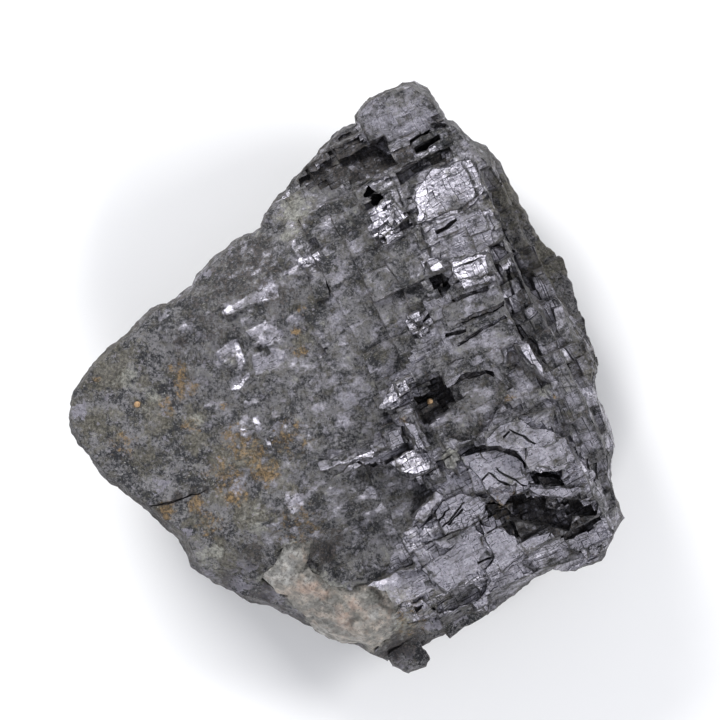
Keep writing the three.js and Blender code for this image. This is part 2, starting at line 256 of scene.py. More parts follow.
def cut_twice(form, faces, place, direction):
    """Cuts the faces at a place along direction, and marks the strip between the two cuts."""
    crack_shade = form.faces.layers.float["crack_shade"]
    pieces = faces
    for side in (-0.5, 0.5):
        parts = dict.fromkeys(pieces)
        for face in pieces:
            parts.update(dict.fromkeys(face.edges))
            parts.update(dict.fromkeys(face.verts))
        done = bmesh.ops.bisect_plane(
            form, geom=list(parts), dist=SAME_PLACE,
            plane_co=direction * (place + side * HAIR), plane_no=direction,
        )
        pieces = [part for part in done["geom"] if isinstance(part, bmesh.types.BMFace)]
    for face in pieces:
        if abs(face.calc_center_median().dot(direction) - place) < 0.5 * HAIR:
            face[crack_shade] = 1.0
    return pieces


print("the two cuts of a pair are", round(HAIR / MM, 2), "mm apart")

# %% [markdown]
# Cutting the whole mesh hundreds of times would be slow. So the middle line is cut first, and
# then each half of the faces with its own half of the lines, again and again. That way each cut
# is made only in the faces that it crosses. A small square shows what comes out: three lines
# leave four cells, with three hair-thin strips between them.

# %% Many cuts, in halves
def slice_up(form, faces, lines, direction):
    """Cuts the faces at every line, and returns all the pieces."""
    if not lines or not faces:
        return faces
    half = len(lines) // 2
    place = lines[half]
    below, above, crossed = [], [], []
    for face in faces:
        reach = [vert.co.dot(direction) for vert in face.verts]
        if max(reach) < place - HAIR:
            below.append(face)
        elif min(reach) > place + HAIR:
            above.append(face)
        else:
            crossed.append(face)
    for face in cut_twice(form, crossed, place, direction) if crossed else []:
        side = face.calc_center_median().dot(direction) > place
        (above if side else below).append(face)
    lower = slice_up(form, below, lines[:half], direction)
    return lower + slice_up(form, above, lines[half + 1 :], direction)


trial = bmesh.new()
trial.faces.layers.float.new("crack_shade")
bmesh.ops.create_grid(trial, x_segments=1, y_segments=1, size=5 * MM)
trial_lines = [-2 * MM, 0, 2 * MM]
trial_pieces = slice_up(trial, list(trial.faces), trial_lines, Vector((1, 0, 0)))
print("a square with", len(trial_lines), "lines gives", len(trial_pieces), "pieces")
trial.free()

# %% [markdown]
# The largest ledges and hollows have outlines of their own, which don't follow the lines. They
# are drawn from above, in millimetres from a mark on the front. Their edges are cut in the same
# way, one side of the outline after the other.

# %% Cuts along an outline
MARK = Vector((-0.496 * MM, 0.368 * MM, 0))


def on_front(place):
    """A place's x and y in millimetres from the mark."""
    return (place.x - MARK.x) / MM, (place.y - MARK.y) / MM


def cut_outline(form, faces, outline):
    """Cuts the faces along an outline given in millimetres, and returns all the pieces."""
    turns = [MARK + Vector((x, y, 0)) * MM for x, y in outline]
    for start, end in zip(turns, turns[1:] + turns[:1]):
        run = (end - start).normalized()
        side = Vector((run.y, -run.x, 0))
        place = start.dot(side)
        first, last = start.dot(run) - 2 * HAIR, end.dot(run) + 2 * HAIR
        near, far = [], []
        for face in faces:
            off = [vert.co.dot(side) for vert in face.verts]
            crossed = min(off) < place + HAIR and max(off) > place - HAIR
            if crossed:
                reach = [vert.co.dot(run) for vert in face.verts]
                crossed = min(reach) < last and max(reach) > first
            (near if crossed else far).append(face)
        faces = far + (cut_twice(form, near, place, side) if near else [])
    return faces


print("the mark lies at", [round(value / MM, 2) for value in MARK.xy], "mm in the frame")

# %% [markdown]
# ## The ledges and hollows of the front
#
# Chance alone does not make this stone. Its larger ledges, hollows and cracks are listed here,
# each by its outline in millimetres from the mark, so that they sit where they belong. They
# could be sculpted by hand instead, but a list can be read, corrected and made again.
#
# - `level` is how much of the rough relief under the patch is evened out (1 is flat),
# - `lift` raises it, or sinks it when negative, in millimetres,
# - `tip` leans it along and across the ledges, in degrees,
# - `steps` is how strong the small steps on it are,
# - `scatter` is how much its cells lean at random, in degrees,
# - `sharp` says that it has a clean edge, so the mesh is cut along its outline first,
# - the rest is paint: how worn, sooty or pale it is, and how far `flash` turns it to the light;
#   in sunk places and hollows the soot is painted shade.
#
# A later patch lies over an earlier one.

# %% What a patch is
def patch(
    outline, level=0.0, lift=0.0, tip=(0, 0), steps=1.0, scatter=2.0, sharp=True, **paint
):
    """One patch of the front, from its outline."""
    return {
        "outline": outline, "level": level, "lift": lift, "tip": tip, "steps": steps,
        "scatter": scatter, "sharp": sharp, "paint": {"shiver": scatter / 10, **paint},
    }


def sunk(outline, depth, soot):
    """A broken-out place: rough, and darker the more soot and painted shade it has."""
    return patch(outline, lift=-depth, soot=soot)


def slit(outline, depth):
    """A thin black crack in a smooth plate."""
    return patch(outline, lift=-depth, steps=0, soot=1.0)


EVERYWHERE = patch([(0, 0)], steps=0.7, scatter=2.5, worn=0.62)
print("a patch is described by:", ", ".join(EVERYWHERE))

# %% [markdown]
# The middle of the front is where the fresh galena fades into the dull, weathered part. Its
# ledges are low and even, with a few flakes among them that still glitter a little.

# %% The dull middle
PATCHES = [
    patch(
        [(-14, 24), (-4, 27), (4, 25), (10, 20), (11, 8), (8, 0), (4, -10), (-6, -13), (-12, 0)],
        level=0.75, steps=0.06, scatter=1.0, worn=0.88, sharp=False,
    ),
    # Flakes that glitter a little in it.
    patch([(-7, 18.2), (-3.2, 18.7), (-3.1, 15.8), (-4.3, 12.6), (-5.6, 14.4), (-6.9, 15.8)],
          level=0.75, steps=0.1, scatter=8, worn=0.55, flash=0.1, sharp=False),
    patch([(-5.4, 3.9), (-2.4, 4.2), (-2.5, 1.9), (-4.6, 2.4)],
          level=0.75, steps=0.1, scatter=6, worn=0.6, sharp=False),
]
print("patches so far:", len(PATCHES))

# %% [markdown]
# At the top a block stands out, with one smooth face. Below it is a dark, broken valley with a
# few bright flakes in it, and some deep slots where pieces have fallen out. The darkness of the
# valley and of the slots is painted shade.

# %% The top block and the valley
PATCHES += [
    # The ground under and beside the block.
    patch(
        [(-7, 26), (2, 37), (10, 41), (16, 34), (19, 28), (12, 28), (4, 25)],
        level=0.3, steps=0.6, scatter=4, worn=0.62, sharp=False,
    ),
    # The valley, darkened with painted shade.
    patch(
        [(-1.9, 31.3), (0.8, 32.9), (2.2, 32.2), (6.1, 29.9), (9, 31), (11.9, 31.3),
         (14.3, 28.8), (10.5, 27.6), (7.1, 28), (3.5, 26.3), (-1.4, 25.7), (-4.8, 25.4),
         (-6.4, 26.3), (-4.2, 27.8), (-1.6, 29.5)],
        lift=-0.35, steps=0.55, scatter=9, worn=0.75, soot=0.72, sharp=False,
    ),
    patch([(-12, 23.5), (-6, 29.5), (-1, 35), (1.6, 36), (1.8, 33.4), (-1.8, 31.2), (-4.5, 28),
           (-6.6, 26)],
          level=0.7, steps=0.1, scatter=3, worn=0.75, soot=0.35, sharp=False),
    patch([(9.2, 29.7), (10.6, 30), (12.1, 28.7), (11, 27.4), (9.7, 27.9)],
          lift=-0.3, steps=1.3, scatter=14, worn=0.3, flash=0.3, sharp=False),
    patch([(10.6, 30.5), (12.4, 31.2), (14.2, 30.3), (13.6, 29.2), (11.7, 29.3)],
          lift=-0.2, steps=1.2, scatter=12, worn=0.4, flash=0.25, sharp=False),
    patch(
        [(1.8, 36), (3.1, 37.2), (9.6, 41), (10.8, 40), (14.1, 34.7), (11.7, 32.9),
         (8.7, 31.4), (6.1, 30), (2.5, 32.2)],
        level=0.9, steps=0.12, scatter=0.8, worn=0.58, flash=-0.2,
    ),
    # Slots darkened with painted shade.
    sunk([(8.9, 31), (11.3, 32.4), (11.7, 32.9), (9, 31.7)], 2.5, 1.0),
    sunk([(11.6, 35.1), (13.1, 35.4), (13.8, 34.4), (12.6, 33.9)], 1.2, 0.9),
    sunk([(2.7, 24.3), (3.4, 25.5), (4.6, 24.4), (4.6, 23.8), (2.9, 24)], 3.5, 1.0),
]
print("patches so far:", len(PATCHES))

# %% [markdown]
# Below the valley, along the right edge, a few broad planes lean towards the light. They are the
# brightest part of the stone, so each is cut with a clean edge and gets its own lean and `flash`.

# %% Bright planes on the right
PATCHES += [
    patch(
        [(10, 24.6), (11.7, 27.6), (16.8, 29.2), (18.9, 25.1), (17.7, 23.6), (15.8, 22.1),
         (11.9, 21.2), (10, 20.5)],
        level=0.8, tip=(0, 3), steps=0.35, scatter=3.5, worn=0.15, flash=0.35,
    ),
    patch([(10, 25), (11.2, 26.6), (11.6, 24), (10.6, 20.6), (10, 20.5)],
          level=1, tip=(0, 9), steps=0.1, scatter=2, worn=0.05, flash=0.52),
    patch(
        [(11.9, 20.7), (15.8, 22.1), (19.2, 22), (19.9, 19.8), (19.8, 16.5), (16.8, 16.4),
         (13.1, 15.6), (12.7, 18.7)],
        level=0.9, tip=(1, 2), steps=0.15, scatter=1.5, worn=0.25,
    ),
    # A sunk strip darkened with painted shade.
    patch([(12.4, 19.3), (14.9, 21.2), (15.1, 20.7), (12.7, 18.8)], lift=-0.6, soot=0.8, rust=0.5),
    patch([(14.3, 15.3), (19.2, 16.5), (19.2, 16.1), (14.5, 14.7)],
          level=1, lift=0.2, tip=(0, 10), steps=0, scatter=4, worn=0.1, flash=0.5),
    patch([(14.6, 14.5), (19.2, 16), (19.8, 13.1), (15.8, 11.7)],
          level=1, lift=0.1, tip=(0, 8), steps=0.3, scatter=7, worn=0.2, flash=0.38),
    patch([(11.5, 14.3), (12.7, 15.2), (13, 14.2), (11.9, 13.7)],
          level=1, lift=0.6, tip=(0, 8), steps=0, scatter=1, worn=0, flash=0.7),
    # A pit darkened with painted shade.
    patch([(11.2, 13.4), (13, 13.9), (13.9, 13.1), (13.7, 11.7), (11.9, 11.7)],
          lift=-1.5, steps=1.5, scatter=14, soot=0.7),
]
print("patches so far:", len(PATCHES))

# %% [markdown]
# In three places the galena has crumbled into small cubes that each catch the light on their
# own. One patch with a strong `scatter` does that: its cells all lean differently.

# %% Bright broken clusters
PATCHES += [
    patch([(2.7, 23.2), (5.2, 24.3), (8.2, 22.5), (8.2, 19.1), (6, 17.6), (3.4, 19.1)],
          steps=1.1, scatter=13, worn=0.05, flash=0.45, sharp=False),
    patch([(5.4, 20.5), (6.6, 22.6), (6.9, 21.9), (6.4, 20.1)],
          level=1, lift=0.5, scatter=3, worn=0, flash=1),
    patch([(4.5, 19.4), (7, 19.7), (6, 18.6)], level=1, lift=0.3, scatter=3, worn=0, flash=0.9),
    patch([(8.4, 8.4), (10.6, 8.8), (11.4, 6.6), (10.4, 5.4), (8.8, 6)],
          lift=0.2, steps=1.2, scatter=14, worn=0.05, flash=0.5, sharp=False),
    patch([(4.9, -4.4), (6.8, -0.3), (8.7, 0.4), (10.4, -2.3), (9.8, -3.4), (7.1, -4.4)],
          lift=0.3, tip=(0, 5), steps=1.2, scatter=10, worn=0, flash=0.6),
]
print("patches so far:", len(PATCHES))

# %% [markdown]
# Under the bright planes come long, darker ledges like stairs. Each has a dark wall on its lower
# side, which is a thin sunk strip darkened with painted shade.

# %% Long ledges
PATCHES += [
    patch([(12.8, 12), (16, 11.6), (21, 12.5), (22.2, 8), (22, -1.5), (14.2, -1), (12.8, 5)],
          level=0.55, tip=(0, -2), steps=0.3, scatter=1.2, worn=0.75, flash=-0.25, sharp=False),
    sunk([(14.2, 10.2), (19.2, 12.2), (19.2, 11.6), (14.4, 9.7)], 0.8, 0.8),
    sunk([(16, 7.1), (21.4, 9.4), (21.4, 10), (15.8, 7.6)], 1.0, 0.9),
    sunk([(13.5, 5.1), (16.5, 5.9), (16.4, 6.4), (13.5, 5.6)], 0.8, 0.9),
    sunk([(15.4, 4.1), (19.2, 6.4), (22, 7.9), (21.8, 8.3), (19.2, 6.8), (15.3, 4.5)], 0.5, 0.6),
]
print("patches so far:", len(PATCHES))

# %% [markdown]
# A deep cavity has broken out near the middle of the right half. Beside it lies a smooth, dark
# ledge, and small bright plates stand around it. The cavity and the sunk strip along the ledge
# are darkened with painted shade.

# %% The cavity
PATCHES += [
    patch([(14.3, -1.1), (20.5, 0.4), (22, -1.5), (21.2, -4), (19.2, -6.7), (17.7, -8.6),
           (15.8, -8.9), (13.7, -8.2), (12.6, -6), (14.7, -3.8)],
          level=0.9, lift=-0.6, tip=(0, -4), steps=0.15, scatter=1.5, worn=0.8, soot=0.22,
          flash=-0.3),
    sunk([(14.3, -1.4), (15.8, -0.7), (19, 0.1), (20.5, 0.1), (20.5, 0.6), (19, 0.8),
           (15.7, 0.1)], 1.0, 0.8),
    patch([(9, -3.3), (11.2, -2), (11.5, -0.4), (13.4, -0.1), (14.1, -1.5), (14.9, -3.3),
           (14.3, -4.2), (13, -5.2), (11.9, -6.7), (10.6, -6.1), (9.7, -4.2)],
          lift=-2.2, steps=1.5, scatter=8, worn=0.6, soot=0.6, sharp=False),
    patch([(8.1, -6.1), (9.6, -6.4), (11.2, -10.1), (10.2, -9.6), (8.5, -7.2)],
          level=0.8, lift=0.5, tip=(-4, 4), steps=0.2, scatter=2, worn=0.1),
    patch([(5.9, -7.9), (7.5, -7.2), (8.1, -9.1), (6.6, -10.1)],
          level=0.8, lift=0.3, steps=0.3, scatter=3, worn=0.15),
    patch([(6.3, -11.6), (8.1, -10.6), (10.5, -9.4), (11.7, -11.3), (10.6, -13.5), (9, -13),
           (7.5, -12.6)],
          level=0.8, lift=0.3, tip=(0, 8), steps=0.5, scatter=9, worn=0, flash=0.6),
]
print("patches so far:", len(PATCHES))

# %% [markdown]
# In the lower middle the surface sinks into a smooth hollow, a little darkened. A crack runs
# along its upper edge, with a strip of bright ledge above it and a pale speck of quartz to the
# right.

# %% The smooth hollow and its crack
PATCHES += [
    patch([(-6, -14), (0, -12.5), (5, -11.5), (9, -13.5), (12, -15.5), (9.5, -19.5), (8, -24),
           (3, -27), (-2, -26), (-6, -24)],
          level=0.85, lift=-0.5, tip=(0, -2), steps=0.15, scatter=1.2, worn=0.82, soot=0.1,
          sharp=False),
    sunk([(-4.1, -12.8), (1.8, -11.1), (3.7, -12.5), (8.1, -10.1), (7.8, -10.6), (3.8, -13.2),
           (1.9, -11.7), (-4, -13.5)], 1.0, 0.9),
    patch([(-3.5, -12.7), (4.4, -9.8), (4.1, -10.8), (-1.9, -12.4)],
          level=1, lift=0.3, tip=(0, 9), steps=0.3, scatter=6, worn=0, flash=0.4),
    patch([(13, -10.6), (14.3, -9.4), (15.6, -10.6), (15.6, -12), (14.1, -12.3)],
          level=0.5, lift=0.8, steps=0.8, scatter=6, worn=0.6, pale=1),
]
print("patches so far:", len(PATCHES))

# %% [markdown]
# The lower right is the showpiece: broad mirror-like plates, one above the other, crossed by
# thin straight cracks. First a patch for the ground they stand on, then the upper plates.

# %% Broad plates, upper part
PATCHES += [
    patch([(9, -20), (12, -15), (16, -11), (24, -5), (31, -9), (36, -17), (36, -24), (24, -28),
           (12, -33), (3, -31), (5, -26)],
          level=0.5, steps=0.6, scatter=2.5, worn=0.25, sharp=False),
    patch([(19.2, -8.2), (20.7, -6.4), (23.6, -5.6), (25.1, -6.7), (28.8, -7.6), (30, -9.1),
           (30.8, -10.8), (29.5, -12.3), (26.6, -13), (25.1, -12.3), (23.6, -10.6),
           (20.7, -9.1), (19, -9.1)],
          level=1, lift=0.5, tip=(1, 0), steps=0.06, scatter=0.9, worn=0.32, flash=-0.32),
    patch([(15.8, -11.1), (17.7, -10.1), (20.7, -10.1), (23.2, -10.8), (24.2, -11.6),
           (25.1, -13), (24.7, -14.5), (23.6, -15.2), (21.4, -17.2), (19.2, -15.8),
           (18.4, -14.2), (17.2, -12.6), (16.1, -12)],
          level=1, lift=0.1, tip=(1, 1), steps=0.06, scatter=0.9, worn=0, flash=0.08),
    sunk([(15.4, -10.9), (17.5, -9.4), (20.7, -9.2), (23.4, -10.1), (25.4, -12.6), (24.6, -12.4),
           (23.2, -10.9), (20.7, -10), (17.7, -10)], 0.7, 0.8),
    # A deep pit darkened with painted shade.
    patch([(25.5, -13.5), (27, -12.8), (29.2, -13.5), (29.8, -14.7), (28, -15.2), (25.8, -14.5)],
          lift=-1.6, steps=1.2, scatter=8, soot=0.95),
    slit([(22, -6.9), (23.9, -7.6), (25.8, -8.7), (25.7, -8.9), (23.8, -7.85), (21.9, -7.1)], 0.3),
    slit([(22, -7.3), (22.1, -7.5), (21.2, -8.2), (21, -8)], 0.3),
    slit([(20.5, -12.5), (22.6, -13.65), (24.6, -14.6), (24.5, -14.8), (22.5, -13.9),
           (20.4, -12.7)], 0.3),
    slit([(19.3, -13.2), (21, -13.9), (22.4, -14.5), (22.3, -14.7), (21, -14.1), (19.3, -13.4),
           (18.5, -14.2), (18.4, -14)], 0.3),
    patch([(24.8, -15), (28, -15.4), (30.2, -15.2), (31, -14.7), (30.2, -16.2), (28, -16.4),
           (25.5, -15.6)],
          level=1, lift=0.2, steps=0.2, scatter=3, worn=0),
]
print("patches so far:", len(PATCHES))

# %% [markdown]
# Between the upper and the lower plates lies a dark, rough recess, darkened with painted shade.
# The lower plates are the largest of all. Below them the edge of the stone is duller and stained
# with earth.

# %% Broad plates, lower part
PATCHES += [
    # The recess, darkened with painted shade.
    patch([(19, -16.9), (21.2, -17.2), (23.2, -15.7), (25.5, -16), (28, -16.9), (30, -16.7),
           (31.3, -16.2), (32.2, -16.7), (34.5, -18.4), (34.8, -19.7), (33.4, -20.6),
           (30, -22), (27.6, -21), (25.1, -21.3), (23.2, -22), (21.7, -20.3), (19, -18.8)],
          lift=-1.2, steps=1.6, scatter=12, worn=0.6, soot=0.62, sharp=False),
    # The plates.
    patch([(10.2, -21.6), (11.9, -19.1), (13.1, -17.1), (15.8, -15.7), (19, -16.4),
           (19, -18.2), (18, -19.8), (15.8, -22), (14.3, -23.2), (11.9, -22.2)],
          level=0.85, steps=0.35, scatter=2.5, worn=0.1),
    patch([(12.2, -15.2), (13.3, -15.7), (10.7, -19.9), (9.4, -19.1)],
          level=1, lift=0.5, tip=(3, 3), steps=0.05, scatter=1, worn=0),
    patch([(10.2, -25.9), (13.1, -24.2), (14.3, -23.5), (15.8, -22), (17.3, -19.8),
           (19.2, -22.2), (20.2, -24.2), (19, -25.7), (16.4, -27.3), (13.9, -29.1),
           (12.7, -28.4)],
          level=1, lift=0.3, steps=0.08, scatter=0.9, worn=0.2, flash=-0.1),
    slit([(18, -24.9), (20.2, -24), (20.2, -24.25), (18, -25.15)], 0.4),
    patch([(18.3, -20.1), (21.2, -20.5), (23.2, -22), (24.2, -23.9), (22.1, -25.4),
           (19.8, -27.6), (19, -26.3), (20.2, -24.2), (19.2, -22.2)],
          level=1, lift=0.15, tip=(0, 1.5), steps=0.08, scatter=0.9, worn=0),
    sunk([(13.3, -20.4), (13.5, -20.5), (16.2, -16.9), (16, -16.8)], 0.5, 1.0),
    sunk([(13.9, -20.1), (14.1, -20.2), (15.9, -17.9), (15.7, -17.8)], 0.5, 1.0),
    sunk([(12.6, -19.6), (12.8, -19.7), (14.2, -17.8), (14, -17.7)], 0.5, 1.0),
    patch([(2.7, -28.5), (4.9, -26.6), (10.2, -26.1), (12.7, -28.5), (13.7, -29.3),
           (10.9, -31), (6.6, -31.3), (5.9, -29.8)],
          level=1, lift=0.1, tip=(0, 1), steps=0.12, scatter=1.2, worn=0, flash=0.3),
    patch([(8.7, -31.3), (10.6, -30.7), (10.2, -31.6), (9.3, -32.2)],
          level=1, steps=0, scatter=1, worn=0),
    patch([(23.2, -22.5), (27.6, -21), (27, -22.2), (24.2, -24.2)],
          level=1, lift=0.4, tip=(0, 2), steps=0.1, scatter=1, worn=0.15),
    patch([(24, -24), (27.4, -23.1), (30.8, -23.1), (33, -24), (32.2, -25.9), (29.5, -26.8),
           (26.1, -26.9), (24.3, -25.9)],
          level=0.7, lift=-0.3, tip=(0, -3), steps=0.2, scatter=2, worn=0.5, tan=0.25),
    patch([(32.4, -23.9), (36, -22.7), (34.5, -24.4), (33.2, -25.1)],
          steps=1, scatter=8, worn=0, sharp=False),
    patch([(11.5, -31.4), (13.9, -29.5), (16.8, -27.8), (19.8, -27.8), (19.2, -29.3),
           (17.7, -30.7), (15.8, -31.3), (13.1, -32.2)],
          lift=-0.5, steps=0.6, scatter=5, worn=0.5, tan=0.2),
    patch([(17.5, -30.7), (19.8, -29.8), (19.8, -31.8), (18.6, -32.6)],
          level=1, steps=0, scatter=1, worn=0),
]
print("patches in all:", len(PATCHES))

# %% [markdown]
# On the weathered left nothing is sliced, but some flakes of bright lead show through. They are
# listed in the same way. Each is cut out, flattened along the cleavage and tipped a little.

# %% Flakes of bright lead
GLINTS = [
    patch([(-16.7, 8.6), (-15.2, 8.1), (-13.2, 9.4), (-8.7, 10.8), (-8.8, 13.1), (-10.7, 12.5),
           (-13.6, 10.4), (-16.1, 8.8)], tip=(0, 2), scatter=5, worn=0.5, flash=0.1),
    patch([(-16.7, 8.6), (-15.2, 8.1), (-14.4, 8.9), (-15.4, 9.5)],
          tip=(-2, 8), worn=0.1, flash=0.8),
    patch([(-13.2, 6), (-10.7, 7.3), (-8.2, 6), (-8.2, 5.2), (-10.7, 3.9), (-12.4, 5.2)],
          tip=(0, 1), scatter=5, worn=0.48, flash=0.1),
    patch([(-17.6, 2.9), (-15.1, 5), (-14.2, 5), (-13.2, 1.8), (-14, 1), (-14.7, 2.7), (-17, 1.2)],
          tip=(0, 1), scatter=7, worn=0.48, flash=0.1),
    patch([(-14.9, 4.9), (-14.2, 5), (-13.2, 1.8), (-13.8, 1.6), (-14.4, 3)],
          tip=(-3, 6), scatter=6, worn=0.2, flash=0.6),
    patch([(-15.4, -2), (-12.8, 0.6), (-12.7, -0.1), (-14, -1.7)],
          tip=(-2, 8), scatter=6, worn=0.15, flash=0.8),
    patch([(-12.1, -5.5), (-11.6, -5.3), (-10.9, -6.9), (-11.5, -7.8), (-12.1, -6.3)],
          tip=(-2, 8), scatter=8, worn=0.1, flash=0.8),
    patch([(-14, -7.1), (-11.1, -7.3), (-12.8, -8.6), (-13.8, -8)], scatter=14, worn=0.35),
    patch([(-10.6, -8.4), (-10, -8.7), (-9.7, -9.4), (-10.3, -9.1)],
          tip=(-2, 8), worn=0.1, flash=0.9),
    patch([(-12.4, 2.7), (-9.9, 3.9), (-8, 3.5), (-8, 1.8), (-9.9, 0.6), (-11.9, 0.2)],
          scatter=1, worn=0.58, flash=-0.15),
    patch([(-7.8, -15.6), (-6.6, -15), (-5.2, -17.2), (-6.8, -18.6), (-8, -17)],
          scatter=12, worn=0.4),
]
print("flakes:", len(GLINTS))

# %% [markdown]
# The wall rock doesn't cleave, so it has no patches. It has one thin, crooked crack, just above
# its lowest rust stains.

# %% A fissure in the wall rock
FISSURE = [
    (-26.8, -17.7), (-24.5, -17.3), (-22, -16.5), (-20, -15.8), (-18.2, -15.2), (-20, -16.05),
    (-22, -16.85), (-24.5, -17.7),
]
print("points of the fissure:", len(FISSURE))

# %% [markdown]
# To the right of its ridge the front falls off steeply to the rim. The crystal there is cut
# nearly along its other cleavage, into thin plates like the pages of a book. So the flank gets
# its own outline, its own grain and its own patches.

# %% The flank
FLANK = [
    (18.2, 28), (19.6, 21.8), (20, 14.7), (22.2, 9.8), (22.4, 1.4), (28.4, -4), (31, -9),
    (35, -16), (44, -16), (44, 28),
]
FLANK_PATCHES = [
    # Its upper part is paler.
    patch([(20, 24), (25, 22.5), (28, 13), (28.8, 9), (26, 8), (23, 8), (20, 16)],
          level=0.3, steps=0.7, scatter=3, worn=0.38, flash=0.3, sharp=False),
    # Two sunk strips darkened with painted shade.
    sunk([(19.8, 21.2), (22.7, 19.2), (22.7, 18.8), (19.9, 20.6)], 0.8, 0.9),
    sunk([(19.9, 18.2), (22.9, 17.1), (22.9, 16.5), (20.1, 17.6)], 0.8, 0.9),
    patch([(19.9, 17.3), (22.4, 16.8), (22.4, 14.6), (20.5, 14.3)],
          level=0.8, lift=0.3, tip=(0, 4), steps=0.1, worn=0),
    # A shallow hollow darkened with painted shade.
    patch([(22.7, 15.6), (24.8, 14.9), (26.1, 9.6), (23.6, 10), (22.4, 12.7)],
          lift=-0.3, scatter=7, worn=0.55, soot=0.42, flash=0.15, sharp=False),
    patch([(24.9, 9.4), (26.6, 10.3), (27.4, 9.6), (26, 8.6)],
          level=0.8, lift=0.2, steps=0.1, scatter=2, worn=0.1, flash=0.2),
    # Two sunk strips darkened with painted shade, with a bright plate between them.
    patch([(22.7, 6.9), (23.6, 7.1), (26, 4.2), (27.4, 1.6), (26.8, 1.2), (24.6, 4.4)],
          lift=-0.5, steps=0.8, scatter=5, soot=0.75),
    patch([(21.9, 3.2), (23, 3.2), (25.4, 0.8), (27, -0.6), (26.4, -1.9), (23.9, -0.6), (22, 1.6)],
          level=0.6, lift=-0.6, steps=0.3, scatter=3, worn=0.7, soot=0.6, flash=-0.2),
    patch([(22.7, 5.6), (24.3, 4.2), (26.8, 0.8), (26.5, 0.3), (24, 2.5), (22.8, 4.2)],
          level=0.8, lift=0.4, steps=0.1, worn=0.05, flash=-0.1),
    # A smooth grey plane, small flakes below it and a hollow darkened with painted shade.
    patch([(28.3, 9.2), (29.4, 9.6), (32.4, 4.8), (31, 4.3), (28.9, 6)],
          level=0.7, steps=0.15, scatter=1.5, worn=0.5, flash=0.2),
    patch([(29, 3.7), (30.2, 3.9), (31, 2.5), (29.8, 1.9)],
          level=0.8, lift=0.2, steps=0.1, scatter=2, worn=0.15, flash=0.2),
    patch([(29.2, 1.6), (31.2, 2), (33.6, 0.6), (34, -1), (31.5, -1.1), (29.4, -0.3)],
          lift=-0.3, steps=0.8, scatter=6, worn=0.7, soot=0.6, sharp=False),
    patch([(29.2, -1.4), (33.6, -1.4), (36.3, -6.7), (37, -9.8), (33.4, -10.6), (31.4, -7.2),
           (29.5, -4.2)],
          level=0.3, steps=0.15, scatter=1, worn=0.4),
]
print("patches of the flank:", len(FLANK_PATCHES))

# %% [markdown]
# ## Moving the cells
#
# Steps on galena aren't all of one height: a few are tall, most are low, and many cells stand
# level with their neighbours. A random height for each cell would make a cobbled floor. So the
# height comes from noise that is rounded to whole steps. Neighbours which round alike stay level
# and make larger ledges with ragged corners.

# %% Heights by chance
BIG_STEP = 0.34 * MM
SMALL_STEP = 0.12 * MM
BIG_LUMP = (4.2, 1.8)  # how long and wide the lumps of the noise are, in millimetres
SMALL_LUMP = (1.7, 0.7)


def chance_height(along, across):
    """How far a cell moves by chance, from its place in millimetres along and across the grain."""
    big = noise.noise(Vector((along / BIG_LUMP[0], across / BIG_LUMP[1], 3.1)))
    small = noise.noise(Vector((along / SMALL_LUMP[0], across / SMALL_LUMP[1], 8.4)))
    return BIG_STEP * round(1.9 * big - 0.3) + SMALL_STEP * round(2.2 * small - 0.2)


row_of_heights = [round(chance_height(along, 0) / MM, 2) for along in range(0, 12, 2)]
print("heights along one ledge, in mm:", row_of_heights)

# %% [markdown]
# The steps fade out towards the weathered left of the front, along a wavy border. And for each
# point the script has to know which patch it lies in.

# %% Where the front is fresh, and which patch a point is in
def ease(value, low, high):
    """0 below low, 1 above high, and a smooth rise between them."""
    share = min(1.0, max(0.0, (value - low) / (high - low)))
    return share * share * (3 - 2 * share)


def freshness(place):
    """Below 0 on the weathered left of the front, above 0 on its cleaved right."""
    x, y = on_front(place)
    return x + 0.35 * y + 3.0 + 2.5 * noise.noise(Vector((x / 5, y / 5, 2)))


def inside(x, y, outline):
    """Whether the point lies inside the outline, by counting the edges to its right."""
    found = False
    if not min(px for px, _ in outline) <= x <= max(px for px, _ in outline):
        return found
    for (x1, y1), (x2, y2) in zip(outline, outline[1:] + outline[:1]):
        if (y1 > y) != (y2 > y) and x < x1 + (x2 - x1) * (y - y1) / (y2 - y1):
            found = not found
    return found


def chosen_patch(vert_spot, cell_spot, patches):
    """The last patch that holds the point, or its whole cell where the edge is not sharp."""
    for choice in reversed(patches):
        if inside(*(vert_spot if choice["sharp"] else cell_spot), choice["outline"]):
            return choice
    return EVERYWHERE


print("freshness at the mark:", round(freshness(MARK), 2))

# %% [markdown]
# A patch is evened out, lifted and tipped as one. Then each of its cells moves by its own chance
# height and leans a little, and its points get the patch's paint. The move is always along one
# direction, up out of the ledges, so the walls between the cells stay upright.

# %% Move one patch
MOST_EVENED = 1.2 * MM


def middle_of(verts):
    """The mean place of some points."""
    return sum((vert.co for vert in verts), Vector()) / len(verts)


def move_patch(form, choice, held, grain):
    """Levels, lifts and tips one patch, then moves its cells by chance, and paints them."""
    along, across, up = grain
    lean = along * math.tan(math.radians(choice["tip"][0]))
    lean = lean + across * math.tan(math.radians(choice["tip"][1]))
    normal = (up + lean).normalized()
    heights = sorted(middle_of(verts).dot(normal) for verts in held.values())
    usual = heights[len(heights) // 2]
    scatter = math.tan(math.radians(choice["scatter"]))
    paints = [(form.verts.layers.float[name], amount) for name, amount in choice["paint"].items()]
    for (column, row), verts in held.items():
        middle = middle_of(verts)
        height = choice["lift"] * MM
        height += choice["steps"] * chance_height(middle.dot(along) / MM, middle.dot(across) / MM)
        own = noise.cell_vector(Vector((column + 0.5, row + 0.5, 0.5))) - Vector((0.5, 0.5, 0.5))
        slope = (along * own.x + across * own.y) * 2 * scatter
        for vert in verts:
            off = max(-MOST_EVENED, min(MOST_EVENED, vert.co.dot(normal) - usual))
            move = height - choice["level"] * off + (vert.co - middle).dot(slope)
            vert.co += up * move * ease(freshness(vert.co), -0.2, 1.6)
            for layer, amount in paints:
                vert[layer] = amount


print("a patch evens out bumps of up to", round(MOST_EVENED / MM, 2), "mm")
